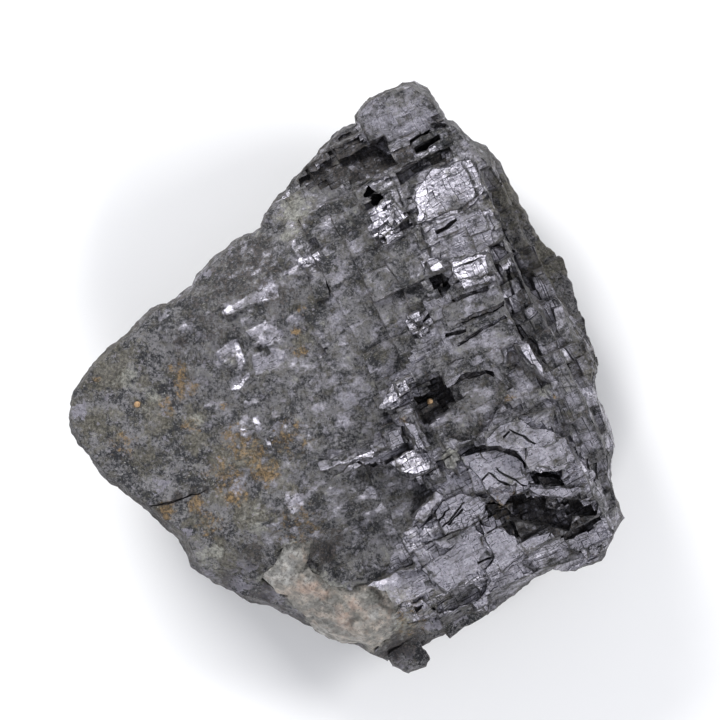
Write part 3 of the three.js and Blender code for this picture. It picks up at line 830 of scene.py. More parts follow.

# %% [markdown]
# The strips between the cells are painted as cracks. Where a strip has turned into the wall of a
# step, its darkness is painted shade. A crack is dark only where the two cells stand at different
# heights, so that its strip has turned into a wall. Noise decides how steep it must be, so the
# lines break off here and there as real ones do.

# %% Darken the cracks with painted shade where they are walls
def shade_crack_walls(form, pieces, up):
    """A strip between two cells gets painted shade where they stand at different heights."""
    crack_shade = form.faces.layers.float["crack_shade"]
    form.normal_update()
    for face in pieces:
        if face[crack_shade] > 0:
            open_share = ease(noise.noise(face.calc_center_median() / MM / 1.4), 0.2, 0.4)
            low, high = 0.93 - 0.38 * open_share, 0.995 - 0.1 * open_share
            face[crack_shade] = 1.0 - ease(face.normal.dot(up), low, high)


steepest = [round(math.degrees(math.acos(share))) for share in (0.93, 0.55)]
print("a strip is fully dark when it leans by", steepest[0], "to", steepest[1], "degrees")

# %% [markdown]
# Now the whole cleaving can be put together: cut the clean edges, slice along and across, sort
# the points into cells, share the cells out among the patches, and move each patch.

# %% Cleave a face of the crystal
def uneven_lines(faces, direction, least, most):
    """Uneven places along direction, from one end of the faces to the other."""
    reach = [vert.co.dot(direction) for face in faces for vert in face.verts]
    lines = []
    place = min(reach) + most * chance.random()
    while place < max(reach):
        lines.append(place)
        place += least + (most - least) * chance.random() ** 1.5
    return lines


def sort_into_patches(cells, patches):
    """For each patch, its points in each cell."""
    members = {}
    for spot, verts in cells.items():
        cell_spot = on_front(middle_of(verts))
        for vert in verts:
            choice = chosen_patch(on_front(vert.co), cell_spot, patches)
            held = members.setdefault(id(choice), (choice, {}))[1]
            held.setdefault(spot, []).append(vert)
    return members.values()


def cleave(form, faces, grain, patches, along_limits, across_limits):
    """Breaks the faces into cells along a grain, and moves and paints each cell."""
    along, across, up = grain
    pieces = faces
    for choice in patches:
        if choice["sharp"]:
            pieces = cut_outline(form, pieces, choice["outline"])
    along_lines = uneven_lines(faces, along, *along_limits)
    across_lines = uneven_lines(faces, across, *across_limits)
    pieces = slice_up(form, pieces, along_lines, along)
    pieces = slice_up(form, pieces, across_lines, across)
    cells = {}
    for vert in corners(pieces):
        column = bisect.bisect(along_lines, vert.co.dot(along))
        row = bisect.bisect(across_lines, vert.co.dot(across))
        cells.setdefault((column, row), []).append(vert)
    for choice, held in sort_into_patches(cells, patches):
        move_patch(form, choice, held, grain)
    shade_crack_walls(form, pieces, up)
    print("cleaved", len(faces), "faces into", len(cells), "cells,", len(pieces), "pieces")
    return pieces


print("noise gives", len({chance_height(0, across) for across in range(30)}), "different heights")

# %% [markdown]
# Only a part of the galena is cleaved. Its faces are shared out by where they lie and how they
# look up: the fresh front, the steep flank, the weathered left, and the rough sides.

# %% Share out the faces of the galena
FLANK_LOOKS_UP = 0.1
FRONT_LOOKS_UP = 0.35

front, flank, weathered, sides = [], [], [], []
for face in galena.faces:
    if face in hidden_galena:
        continue
    centre = face.calc_center_median()
    if inside(*on_front(centre), FLANK) and face.normal.z > FLANK_LOOKS_UP:
        flank.append(face)
    elif face.normal.z > FRONT_LOOKS_UP:
        (front if freshness(centre) > 0 else weathered).append(face)
    else:
        sides.append(face)
print("faces:", len(front), "front,", len(flank), "flank,", len(weathered), "weathered,",
      len(sides), "sides")

# %% [markdown]
# The front breaks into small blocks. The flank is sliced into long thin plates, along a grain of
# its own that follows its slope. Each pair of limits is the least and the most width of a cell.

# %% Cleave the front and the flank
FRONT_CELLS = ((0.35 * MM, 1.05 * MM), (0.28 * MM, 0.85 * MM))
FLANK_CELLS = ((1.5 * MM, 5.0 * MM), (0.25 * MM, 0.95 * MM))
FLANK_TURN = math.radians(-60)

cleaved = cleave(galena, front, front_grain, PATCHES, *FRONT_CELLS)
flank_up = sum((face.normal * face.calc_area() for face in flank), Vector()).normalized()
flank_grain = directions(FLANK_TURN, flank_up)
cleaved += cleave(galena, flank, flank_grain, FLANK_PATCHES, *FLANK_CELLS)

# %% [markdown]
# ## Weathered and broken rock
#
# Where nothing cleaves, a broken surface is soft lumps with grit on them. A Displace modifier
# could shake it, but it can't be held back at the rims or near the ledges. So the points are
# moved here one by one. First the long edges are split until the mesh is fine enough to carry
# lumps of a millimetre, and the facets of the CAD model are smoothed away.

# %% Finer faces
MOST_ROUNDS = 6


def refine(form, faces, longest):
    """Splits the edges of the faces until none is longer, and returns the fine faces."""
    mark = form.faces.layers.int["fine"]
    for face in form.faces:
        face[mark] = 0
    for face in bmesh.ops.triangulate(form, faces=faces)["faces"]:
        face[mark] = 1
    for _ in range(MOST_ROUNDS):
        fine = [face for face in form.faces if face[mark] == 1]
        edges = dict.fromkeys(edge for face in fine for edge in face.edges)
        long_edges = [edge for edge in edges if edge.calc_length() > longest]
        if not long_edges:
            break
        bmesh.ops.subdivide_edges(form, edges=long_edges, cuts=1)
        fine = [face for face in form.faces if face[mark] == 1 and len(face.verts) > 3]
        bmesh.ops.triangulate(form, faces=fine)
    return [face for face in form.faces if face[mark] == 1]


def soften(form, faces, times):
    """Rounds off the facets of the fine faces, but leaves the rim of the area where it is."""
    held = set(faces)
    inner = [vert for vert in corners(faces) if all(face in held for face in vert.link_faces)]
    for _ in range(times):
        bmesh.ops.smooth_vert(
            form, verts=inner, factor=0.5, use_axis_x=True, use_axis_y=True, use_axis_z=True
        )


for glint in GLINTS:
    weathered = cut_outline(galena, weathered, glint["outline"])
crack_shade_layer = galena.faces.layers.float["crack_shade"]
for face in weathered:
    face[crack_shade_layer] = 0.0
weathered = refine(galena, weathered, 0.6 * MM)
soften(galena, weathered, 3)
print("weathered galena:", len(weathered), "fine faces")

# %% [markdown]
# The galena's own sides are hardly seen from the front, so they can be coarser.

# %% Sides of the galena
sides = refine(galena, sides, 1.0 * MM)
print("sides of the galena:", len(sides), "fine faces")

# %% [markdown]
# Then every point is shaken by noise in three sizes of lump. The noise depends only on the
# place, so two minerals that share an edge are shaken alike and stay together. The cleaved
# ledges are hardly shaken upwards or downwards, because that would blunt their flat tops.

# %% Shake the galena
LUMPS = [(6.0, 0.3), (2.0, 0.32), (0.9, 0.24)]  # size and depth, in millimetres
FOOT = 0.02 * MM


def shake(verts, cleaved=False):
    """Shakes the points by noise, but leaves the flat foot of the stone as it is."""
    for vert in verts:
        if vert.co.z < FOOT:
            continue
        place = vert.co / MM
        move = Vector()
        for size, depth in LUMPS:
            move += noise.noise_vector(place / size) * depth
        if cleaved:
            move.z *= 1 - 0.85 * ease(freshness(vert.co), 0, 2.5)
        vert.co += move * MM
        vert.co.z = max(vert.co.z, 0.0)


cleaved_verts = {vert for face in cleaved if face.is_valid for vert in face.verts}
shake(cleaved_verts, cleaved=True)
shake([vert for vert in galena.verts if vert not in cleaved_verts])
most = sum(depth for _, depth in LUMPS)
print("galena:", len(galena.faces), "faces, shaken by up to", round(most, 2), "mm")

# %% [markdown]
# The wall rock is refined, softened once and shaken in the same way. Its fissure is cut out
# before, and sunk a little.

# %% The wall rock
FISSURE_DEPTH = 0.4 * MM

rock_open = [
    face for face in rock.faces
    if face not in hidden_rock and face.calc_center_median().z > 0.05 * MM
]
rock_open = cut_outline(rock, rock_open, FISSURE)
rock_open = refine(rock, rock_open, 0.55 * MM)
soften(rock, rock_open, 1)
rock.normal_update()
fissure_verts = [
    vert for vert in rock.verts if vert.normal.z > 0.3 and inside(*on_front(vert.co), FISSURE)
]
for vert in fissure_verts:
    vert.co.z -= FISSURE_DEPTH
shake(rock.verts)
print("rock:", len(rock.faces), "faces,", len(fissure_verts), "points in the fissure")

# %% [markdown]
# The calcite is a lumpy crust that thins out towards the other minerals. In the CAD model it
# ends in a step there. So its points are lowered the more, the nearer they are to a neighbour.

# %% The calcite
THINNED_BY = 0.75 * MM
THINNED_WITHIN = (0.3 * MM, 1.9 * MM)
LEAST_HEIGHT = 1 * MM

calcite_open = [face for face in calcite.faces if face not in hidden_calcite]
calcite_open = refine(calcite, calcite_open, 0.4 * MM)
soften(calcite, calcite_open, 2)
thinned = {}
for vert in calcite.verts:
    away = min(
        (tree.find_nearest(vert.co)[0] - vert.co).length for tree in (near_galena, near_rock)
    )
    thinned[vert] = THINNED_BY * (1 - ease(away, *THINNED_WITHIN))
for vert, drop in thinned.items():
    if vert.co.z - drop > LEAST_HEIGHT and vert.normal.z > -0.2:
        vert.co.z -= drop
shake(calcite.verts)
print("calcite:", len(calcite.faces), "faces")

# %% [markdown]
# ## Paint
#
# The left of the front is weathered: the lead has dulled, and it carries olive-tan earth, rust
# from altered ore, and a few pale patches of quartz. Masks could be made from noise alone, but
# then the stains would lie anywhere. So they are painted as amounts on the points of the mesh,
# and the finishes break them up into ragged specks.
#
# Each stain is a soft round spot: x, y and radius in millimetres, and how strong it is.

# %% How a stain is painted
def strongest(x, y, stains):
    """The strongest of the stains at a point, each fading from its middle outwards."""
    amount = 0.0
    for stain_x, stain_y, radius, strength in stains:
        away = math.hypot(x - stain_x, y - stain_y) / radius
        amount = max(amount, strength * (1 - ease(away, 0.2, 1.3)))
    return amount


one_stain = [(0, 0, 2, 0.8)]
print("a stain 4 mm wide fades:", [round(strongest(x, 0, one_stain), 2) for x in (0, 1, 2, 3)])

# %% [markdown]
# Olive-tan earth covers the left tip and lies in the hollows of the rest. Orange rust follows
# it in smaller spots.

# %% Earth and rust
TAN_STAINS = [
    (-33, 3, 7, 0.62), (-31, 0.5, 3, 0.85), (-34, -6, 5, 0.62), (-26, -6, 3.5, 0.68),
    (-27, -1, 1.6, 0.9), (-25.5, -3.5, 1.4, 0.9), (-20, -5.5, 2.2, 0.8), (-19.5, -9, 2.2, 0.8),
    (-27, -11, 3.5, 0.6), (-17, -11, 3, 0.65), (-13, -11, 3, 0.7), (-13, -18.5, 3.2, 0.85),
    (-16, -24, 4, 0.7), (-21, -21, 4, 0.5), (-18, -17, 3, 0.55), (-8, -13, 4, 0.5),
    (-6.5, 22, 4.5, 0.55), (-5, 5, 2.5, 0.6), (-5, 10, 1.5, 0.5), (4, 6, 5, 0.25),
    (23, 25, 5, 0.75), (28, 16, 5, 0.75), (33, 2, 5, 0.5), (7, -33, 5, 0.6), (13, -30.5, 3, 0.5),
    (23, 19, 3, 0.5),
]
RUST_STAINS = [
    (-21.5, -1.5, 2, 0.62), (-22.5, 1, 1.6, 0.5), (-24, -4, 1.6, 0.55), (-20.5, -7, 1.6, 0.5),
    (-14.5, -8.5, 2.6, 0.48), (-12.5, -10.5, 2.6, 0.56), (-10.5, -13, 2.2, 0.78),
    (-14.6, -16.2, 1.8, 0.82), (-24, -18.3, 1.6, 0.75), (-19.8, -17.4, 1.5, 0.82),
    (-18, -20, 2.2, 0.44), (-28, -3.8, 0.6, 0.8), (-33.5, -0.5, 0.8, 0.6), (-30, -9, 2.4, 0.32),
    (-6.4, 6, 0.9, 0.65), (-6, 3.5, 1.4, 0.4), (-5.6, 9, 0.8, 0.5), (-16, -4, 0.9, 0.4),
    (-7, -8, 3.4, 0.3), (-16, -13, 3.4, 0.4), (11.6, -3.4, 0.7, 0.85), (8, -6, 0.8, 0.44),
    (-6, -20, 4, 0.26), (22, -17, 3.4, 0.26), (9, -33.5, 3.4, 0.3), (22.2, -2.8, 0.6, 0.8),
    (28.5, -2.6, 0.6, 0.85),
]
print("stains of earth:", len(TAN_STAINS), "and of rust:", len(RUST_STAINS))

# %% [markdown]
# Quartz shows as pale grey patches, and flakes of lead among the dull rock shine a little.

# %% Quartz and lead
PALE_STAINS = [
    (-6.2, 22.3, 2.6, 0.7), (-7.3, 19.7, 2.0, 0.55), (2, -8, 1.0, 0.6), (14.4, -11, 1.6, 0.9),
    (27, -2, 1.1, 0.9), (-12, -19.5, 2.4, 0.7), (-18, -24.5, 2.4, 0.7), (-20, -5.8, 1.0, 0.7),
    (-26, -2.5, 1.2, 0.6), (-29.3, -0.3, 1.6, 0.8), (-6, -23, 1.6, 0.6), (-4, -27, 2.2, 0.45),
    (8, -34, 2.5, 0.5),
]
LEAD_STAINS = [
    (-35.9, -4.8, 1.4, 0.9), (-24.5, -15, 1.6, 0.6), (-21.3, -21.2, 1.0, 0.8),
    (-18.6, -27, 2, 0.7), (-14.5, -28.4, 2.4, 0.7), (-10, -29.6, 2.4, 0.7), (-13, -25.6, 2, 0.5),
    (-6.2, -32.3, 1.4, 0.6), (7.6, -38.5, 2.6, 0.6), (12.3, -33.8, 1.8, 0.7),
    (15.5, -33, 1.5, 0.5), (-18.9, 13.9, 1.2, 0.8), (-15.3, 17, 1.0, 0.7), (4, -37, 1.6, 0.5),
]
print("stains of quartz:", len(PALE_STAINS), "and of lead:", len(LEAD_STAINS))

# %% [markdown]
# Dark, sooty tarnish lies along the lower rim and on the upper left of the front. The spots in
# the valley under the top block and along the fissure of the wall rock are painted shade.

# %% Soot
SOOT_AND_SHADE_STAINS = [
    (7.5, -37, 3.2, 0.7), (1, -37, 2.5, 0.6), (-6, -33.5, 2.2, 0.6), (-11, -30, 2.6, 0.55),
    (-16, -28, 2.4, 0.5), (-9, -27.5, 2.2, 0.5), (-12.5, -24, 2.4, 0.6), (-2.8, -23.5, 2.6, 0.75),
    (-1, -21.5, 1.6, 0.6), (-22.5, -16.3, 1.0, 0.9), (-20.5, -15.8, 0.8, 0.9),
    (-18.5, -15.2, 0.7, 0.9), (-25.5, -19.5, 1.6, 0.8), (-17, 6, 3, 0.35), (6.6, -31, 0.8, 0.5),
    (-22, 4.5, 1.6, 0.6), (-19.5, 8.5, 2.5, 0.4), (-12, 15, 5, 0.55), (-15, 13, 4, 0.5),
    (-9, 11, 4, 0.42), (-19, 11, 3, 0.4), (-3, 29, 4, 0.72), (4, 29, 3, 0.6),
]
print("stains of soot:", len(SOOT_AND_SHADE_STAINS))

# %% [markdown]
# First comes the ground colour of each area: the weathered front is nearly fully worn, the sides
# are worn and darkened with painted shade, and the steep places of the rock get painted shade,
# the more the steeper they are.

# %% Paint the ground
galena.normal_update()
rock.normal_update()
worn_layer = galena.verts.layers.float["worn"]
soot_layer = galena.verts.layers.float["soot"]
rock_soot_layer = rock.verts.layers.float["soot"]
for vert in corners(weathered):
    vert[worn_layer] = 0.85 + 0.15 * ease(-freshness(vert.co), -1, 10)
# The sides of the galena get painted shade.
for vert in corners(sides):
    vert[worn_layer] = 0.95
    vert[soot_layer] = 0.35
# Painted shade on the steep rock, more the steeper it is.
for vert in rock.verts:
    vert[rock_soot_layer] = 0.52 * (1 - ease(vert.normal.z, 0.35, 0.75))
worn = [vert[worn_layer] for vert in galena.verts]
print("worn, on average:", round(sum(worn) / len(worn), 2))

# %% [markdown]
# The flakes of lead come next. Each is flattened along the cleavage and tipped towards the
# light. Its paint replaces what is there, so that it shines in the dull rock.

# %% Paint the flakes
FLATTENED = 0.6
FLAKE_BUMPS = 0.5 * MM


def paint_glint(form, glint):
    """Flattens a bright flake along the cleavage, tips it towards the light and paints it."""
    held = [
        vert for vert in form.verts
        if vert.normal.z > 0.3 and inside(*on_front(vert.co), glint["outline"])
    ]
    middle = middle_of(held)
    slope_along, slope_across = (math.tan(math.radians(lean)) for lean in glint["tip"])
    lean = front_grain[0] * slope_along + front_grain[1] * slope_across
    for vert in held:
        off = max(-FLAKE_BUMPS, min(FLAKE_BUMPS, (vert.co - middle).dot(FRONT_UP)))
        vert.co.z -= FLATTENED * off + (vert.co - middle).dot(lean)
        for name, amount in glint["paint"].items():
            vert[form.verts.layers.float[name]] = amount
    return len(held)


print("points of the flakes:", [paint_glint(galena, glint) for glint in GLINTS])

# %% [markdown]
# Then the stains are laid over both minerals, only where the surface looks up, as dust settles.

# %% Paint the stains
STAINS = {
    "tan": TAN_STAINS, "rust": RUST_STAINS, "pale": PALE_STAINS, "lead": LEAD_STAINS,
    "soot": SOOT_AND_SHADE_STAINS,
}


def paint_stains(form, least_up):
    """Paints the stains on the points that look up at least so far."""
    layer = {name: form.verts.layers.float[name] for name in STAINS}
    painted_points = 0
    for vert in form.verts:
        if vert.normal.z > least_up:
            painted_points += 1
            x, y = on_front(vert.co)
            for name, stains in STAINS.items():
                vert[layer[name]] = max(vert[layer[name]], strongest(x, y, stains))
    return painted_points


print("stained galena points:", paint_stains(galena, 0.2))
print("stained rock points:", paint_stains(rock, -0.3))
# The fissure is darkened with painted shade.
for vert in fissure_verts:
    vert[rock_soot_layer] = 0.8

# %% [markdown]
# Where the calcite ends, specks of each mineral lie on the other, so its border is ragged. A
# clean line there would look like a sticker. The pale paint of the neighbours grows towards the
# calcite, and below the calcite's grey grows towards the neighbours.

# %% The ragged border of the calcite
BORDER = 1.4 * MM


def nearness(vert, neighbour):
    """1 at the neighbour's surface, falling to 0 a little way off."""
    place, _, _, _ = neighbour.find_nearest(vert.co, BORDER)
    return 0.0 if place is None else 1 - (place - vert.co).length / BORDER


for form in (galena, rock):
    pale_layer = form.verts.layers.float["pale"]
    pale_points = 0
    for vert in form.verts:
        if vert.normal.z > 0.2:
            near = nearness(vert, near_calcite)
            vert[pale_layer] = max(vert[pale_layer], 0.85 * near)
            pale_points += near > 0
    print("points beside the calcite:", pale_points)

# %% [markdown]
# The calcite is pinkish along its middle, frosted white at its upper left, and grey where it
# thins out at its edge. One white spot on its right lobe is a painted highlight.

# %% Paint the calcite
PINK_STAINS = [
    (-5.2, -28.4, 1.3, 0.8), (-3.2, -29.3, 1.2, 0.7), (0.1, -32.8, 1.6, 0.85),
    (1.4, -30.8, 1.5, 0.4),
]
# Frosted white, and at 4.1, -32.3 a painted highlight.
WHITE_STAINS = [
    (-8.1, -25.8, 2.6, 0.85), (-10, -26.6, 1.8, 0.7), (-7, -24, 1.6, 0.7), (4.1, -32.3, 1.2, 0.7),
    (-4.5, -27.6, 1.2, 0.5), (-2.5, -34.2, 1.6, 0.4),
]
GREY_STAINS = [
    (-6.2, -26.2, 1.1, 0.4), (4, -29.4, 1.8, 0.85), (3.4, -36.6, 2.2, 0.5),
    (-2.4, -31.2, 1.6, 0.6), (-5.3, -27, 1.1, 0.5), (-2, -33.6, 1.0, 0.5), (5.8, -35, 1.8, 0.45),
]
pink_layer = calcite.verts.layers.float["rust"]
white_layer = calcite.verts.layers.float["pale"]
grey_layer = calcite.verts.layers.float["soot"]
for vert in calcite.verts:
    x, y = on_front(vert.co)
    vert[pink_layer] = strongest(x, y, PINK_STAINS)
    vert[white_layer] = strongest(x, y, WHITE_STAINS)
    near = max(nearness(vert, near_galena), nearness(vert, near_rock))
    vert[grey_layer] = max(strongest(x, y, GREY_STAINS), 0.7 * near)
print("pink points:", sum(vert[pink_layer] > 0.2 for vert in calcite.verts))

# %% [markdown]
# Rock and calcite are rounded lumps, so their faces are shaded smooth. The cleaved faces stay
# flat: each one is a little mirror, and smooth shading would wash the steps out.

# %% Smooth shading
SMOOTH = ((galena, weathered + sides), (rock, rock.faces), (calcite, calcite.faces))

for form, faces in SMOOTH:
    for face in faces:
        face.smooth = True
    print("smooth faces:", sum(face.smooth for face in form.faces), "of", len(form.faces))

# %% [markdown]
# Two round grains of tan earth cling to the surface: one on the left tip of the wall rock, and
# one in the cavity of the galena. Each is a small ball, shaken a little and half sunk. A ray
# that falls from above finds the height of the surface below it.

# %% Two small grains
GRAIN_PAINT = {"worn": 1.0, "grain": 1.0}
ABOVE_ALL = 60 * MM


def seat_grain(form, x, y, radius):
    """A small round grain half sunk in the surface."""
    start = Vector((MARK.x + x * MM, MARK.y + y * MM, ABOVE_ALL))
    place, _, _, _ = BVHTree.FromBMesh(form).ray_cast(start, Vector((0, 0, -1)))
    made = bmesh.ops.create_icosphere(
        form, subdivisions=3, radius=radius, matrix=Matrix.Translation(place)
    )
    for vert in made["verts"]:
        vert.co += noise.noise_vector(vert.co / MM / 0.5) * 0.15 * radius
        for name in PAINTS:
            vert[form.verts.layers.float[name]] = GRAIN_PAINT.get(name, 0.0)
        for face in vert.link_faces:
            face.smooth = True
    print("a grain seated at", [round(value / MM, 1) for value in place])


seat_grain(rock, -27.95, -3.8, 0.42 * MM)
seat_grain(galena, 11.6, -3.4, 0.4 * MM)

# %% [markdown]
# ## Turn the forms into pieces of the model
#
# Each form becomes a mesh object. It rides on the stone's one body, and stands in for the CAD node
# it was copied from, which is hidden.

# %% Finished pieces
def finished_piece(form, name, node):
    """A mesh object from the form, in place of the CAD node."""
    bmesh.ops.triangulate(form, faces=[face for face in form.faces if len(face.verts) > 4])
    mesh = bpy.data.meshes.new(name)
    form.to_mesh(mesh)
    form.free()
    piece = bpy.data.objects.new(name, mesh)
    bpy.context.scene.collection.objects.link(piece)
    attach(piece, "root")
    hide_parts(node)
    triangles = sum(len(polygon.vertices) - 2 for polygon in mesh.polygons)
    print(name, "has", triangles, "triangles")
    return piece


galena_piece = finished_piece(galena, "cleaved_galena", "galena")
rock_piece = finished_piece(rock, "broken_wall_rock", "wall_rock")
calcite_piece = finished_piece(calcite, "lumpy_calcite", "calcite")

# %% [markdown]
# ## Finishes
#
# A finish here is mostly noise of a few sizes, mixed by the painted amounts. A picture of rock
# could be wrapped round the stone instead, but it would stretch on the steep sides and repeat.
# Everything is measured in the object's own coordinates, so the pattern belongs to the stone.

# %% A new finish
def new_finish(name):
    """A material with its tree, its shader and coordinates in millimetres."""
    finish = bpy.data.materials.new(name)
    finish.use_nodes = True
    tree = finish.node_tree
    shader = tree.nodes["Principled BSDF"]
    where = tree.nodes.new("ShaderNodeTexCoord")
    scale = tree.nodes.new("ShaderNodeMapping")
    scale.inputs["Scale"].default_value = (1 / MM, 1 / MM, 1 / MM)
    tree.links.new(where.outputs["Object"], scale.inputs["Vector"])
    print("a new finish:", name)
    return finish, tree, shader, scale.outputs["Vector"]


rock_look, rock_tree, rock_shader, rock_where = new_finish("wall rock")

# %% [markdown]
# Blender's noise stays near a half nearly everywhere, so by itself it only makes a haze. A ramp
# stretches a narrow span of it, and then lumps and specks stand out.

# %% Noise and ramps
def noise_at(tree, where, size, detail=3.0, rough=0.55):
    """Noise with lumps of the given size in millimetres."""
    made = tree.nodes.new("ShaderNodeTexNoise")
    made.inputs["Scale"].default_value = 1 / size
    made.inputs["Detail"].default_value = detail
    made.inputs["Roughness"].default_value = rough
    tree.links.new(where, made.inputs["Vector"])
    return made.outputs["Fac"]


def ramp(tree, value, low, high, out_low=0.0, out_high=1.0):
    """Value from low..high stretched smoothly onto out_low..out_high."""
    made = tree.nodes.new("ShaderNodeMapRange")
    made.interpolation_type = "SMOOTHSTEP"
    tree.links.new(value, made.inputs["Value"])
    made.inputs["From Min"].default_value = low
    made.inputs["From Max"].default_value = high
    made.inputs["To Min"].default_value = out_low
    made.inputs["To Max"].default_value = out_high
    return made.outputs["Result"]


GRIT_SIZE = 0.35
LUMP_SIZE = 0.9
rock_grit = noise_at(rock_tree, rock_where, GRIT_SIZE, 4.0, 0.75)
rock_lumps = noise_at(rock_tree, rock_where, LUMP_SIZE, 5.0, 0.7)
print("the rock's grit is", GRIT_SIZE, "mm wide, and its lumps", LUMP_SIZE, "mm")

# %% [markdown]
# Three more helpers mix things: two colours by a share, two numbers, or two directions. Each
# takes a socket where the value changes over the stone, or a plain value where it doesn't.

# %% Mixing colours, numbers and directions
def blend(tree, share, first, second):
    """A colour between first and second, each a colour or a socket."""
    made = tree.nodes.new("ShaderNodeMix")
    made.data_type = "RGBA"
    tree.links.new(share, made.inputs[0])
    for name, colour in (("A", first), ("B", second)):
        socket = next(s for s in made.inputs if s.name == name and s.type == "RGBA")
        if isinstance(colour, tuple):
            socket.default_value = (*colour, 1)
        else:
            tree.links.new(colour, socket)
    return next(s for s in made.outputs if s.type == "RGBA")


def maths(tree, kind, *values):
    """One step of arithmetic on sockets or numbers."""
    made = tree.nodes.new("ShaderNodeMath")
    made.operation = kind
    for socket, value in zip(made.inputs, values):
        if isinstance(value, (int, float)):
            socket.default_value = value
        else:
            tree.links.new(value, socket)
    return made.outputs["Value"]


def vector_maths(tree, kind, first, second):
    """One step of vector arithmetic on sockets, triples or a number to scale by."""
    made = tree.nodes.new("ShaderNodeVectorMath")
    made.operation = kind
    second_socket = made.inputs["Scale"] if kind == "SCALE" else made.inputs[1]
    for socket, value in ((made.inputs[0], first), (second_socket, second)):
        if isinstance(value, (tuple, float)):
            socket.default_value = value
        else:
            tree.links.new(value, socket)
    return made.outputs["Value"] if kind == "DOT_PRODUCT" else made.outputs["Vector"]


print("nodes in the rock's tree so far:", len(rock_tree.nodes))

# %% [markdown]
# Weathered galena and wall rock look alike from a step away: both are a mottled dark grey under
# the same coat of earth. So both finishes take their weathered grey from here. It is a broad
# noise and a fine one added together, tinted olive in places, with black and white specks.

# %% Weathered grey
DARK_GREY = (0.014, 0.015, 0.018)
LIGHT_GREY = (0.155, 0.151, 0.158)
OLIVE = (0.088, 0.081, 0.06)
BLACK_SPECK = (0.01, 0.01, 0.012)
WHITE_SPECK = (0.33, 0.325, 0.31)


def weathered_grey(tree, where, brightness):
    """A mottled bluish grey, in lumps from a few millimetres down to fine grains."""
    broad = noise_at(tree, where, 3.2, 3.0, 0.6)
    grains = noise_at(tree, where, 0.42, 6.0, 0.8)
    both = maths(tree, "MULTIPLY_ADD", broad, 0.45, maths(tree, "MULTIPLY", grains, 0.75))
    colour = blend(tree, ramp(tree, both, 0.54, 0.67), DARK_GREY, LIGHT_GREY)
    olive = ramp(tree, noise_at(tree, where, 1.5, 6.0, 0.7), 0.5, 0.62, 0.0, 0.42)
    colour = blend(tree, olive, colour, OLIVE)
    specks = noise_at(tree, where, 0.3, 3.0, 0.6)
    colour = blend(tree, ramp(tree, specks, 0.3, 0.38, 0.7, 0.0), colour, BLACK_SPECK)
    colour = blend(tree, ramp(tree, specks, 0.62, 0.7, 0.0, 0.7), colour, WHITE_SPECK)
    return vector_maths(tree, "SCALE", colour, brightness)


rock_grey = weathered_grey(rock_tree, rock_where, 1.1)
print("nodes with the rock's grey:", len(rock_tree.nodes))

# %% [markdown]
# The painted stains are soft round spots, and real ones have ragged edges. So noise is added to
# the painted amount, and the sum is cut off at a half: near the middle of a stain the noise
# hardly matters, and at its edge only the specks with the highest noise are left.

# %% Ragged coats of paint
SPECK_STRENGTH = 3.2


def painted(tree, name):
    """A painted amount."""
    made = tree.nodes.new("ShaderNodeAttribute")
    made.attribute_name = name
    return made.outputs["Fac"]


def ragged(tree, amount, speck, width=0.12):
    """A painted amount broken up by specks: mostly 0 or 1, with a narrow change."""
    specks = maths(tree, "MULTIPLY_ADD", speck, SPECK_STRENGTH, -0.5 * SPECK_STRENGTH)
    mixed = maths(tree, "ADD", amount, specks)
    return ramp(tree, mixed, 0.5 - width, 0.5 + width)


def coated(tree, colour, cover, strength, mottle, tones):
    """A coat over a colour, mottled between its dark and its light tone."""
    tone = blend(tree, mottle, *tones)
    return blend(tree, maths(tree, "MULTIPLY", cover, strength), colour, tone)


for amount in (0.3, 0.7):
    least = 0.5 + (0.5 - amount) / SPECK_STRENGTH
    print("an amount of", amount, "shows where the noise is over", round(least, 2))

# %% [markdown]
# Earth, quartz, rust, lead and soot lie over each other in this order; the soot coat also carries
# the painted shade of hollows, walls and steep sides. Rust also fills thin veins far from its
# stains, but weakly. Each coat has a dark and a light tone, and fine noise chooses between them.

# %% The coat of earth
EARTH_TONES = ((0.045, 0.041, 0.031), (0.20, 0.187, 0.15))
QUARTZ_TONES = ((0.10, 0.10, 0.088), (0.35, 0.348, 0.312))
RUST_TONES = ((0.045, 0.034, 0.02), (0.32, 0.21, 0.1))
LEAD_TONES = ((0.13, 0.125, 0.15), (0.27, 0.26, 0.30))
SOOT_AND_SHADE_TONES = ((0.014, 0.013, 0.014), (0.095, 0.08, 0.07))
GRAIN_TONES = ((0.34, 0.21, 0.11), (0.58, 0.39, 0.22))


def rust_cover(tree, where):
    """Where rust lies: spots in its stains, and a trace of it elsewhere."""
    speck = maths(tree, "MULTIPLY_ADD", noise_at(tree, where, 1.1, 8.0, 0.8), 1.5, -0.25)
    rust = ragged(tree, painted(tree, "rust"), speck, 0.35)
    return maths(tree, "MULTIPLY", rust, ramp(tree, painted(tree, "rust"), 0.02, 0.25, 0.12, 1.0))


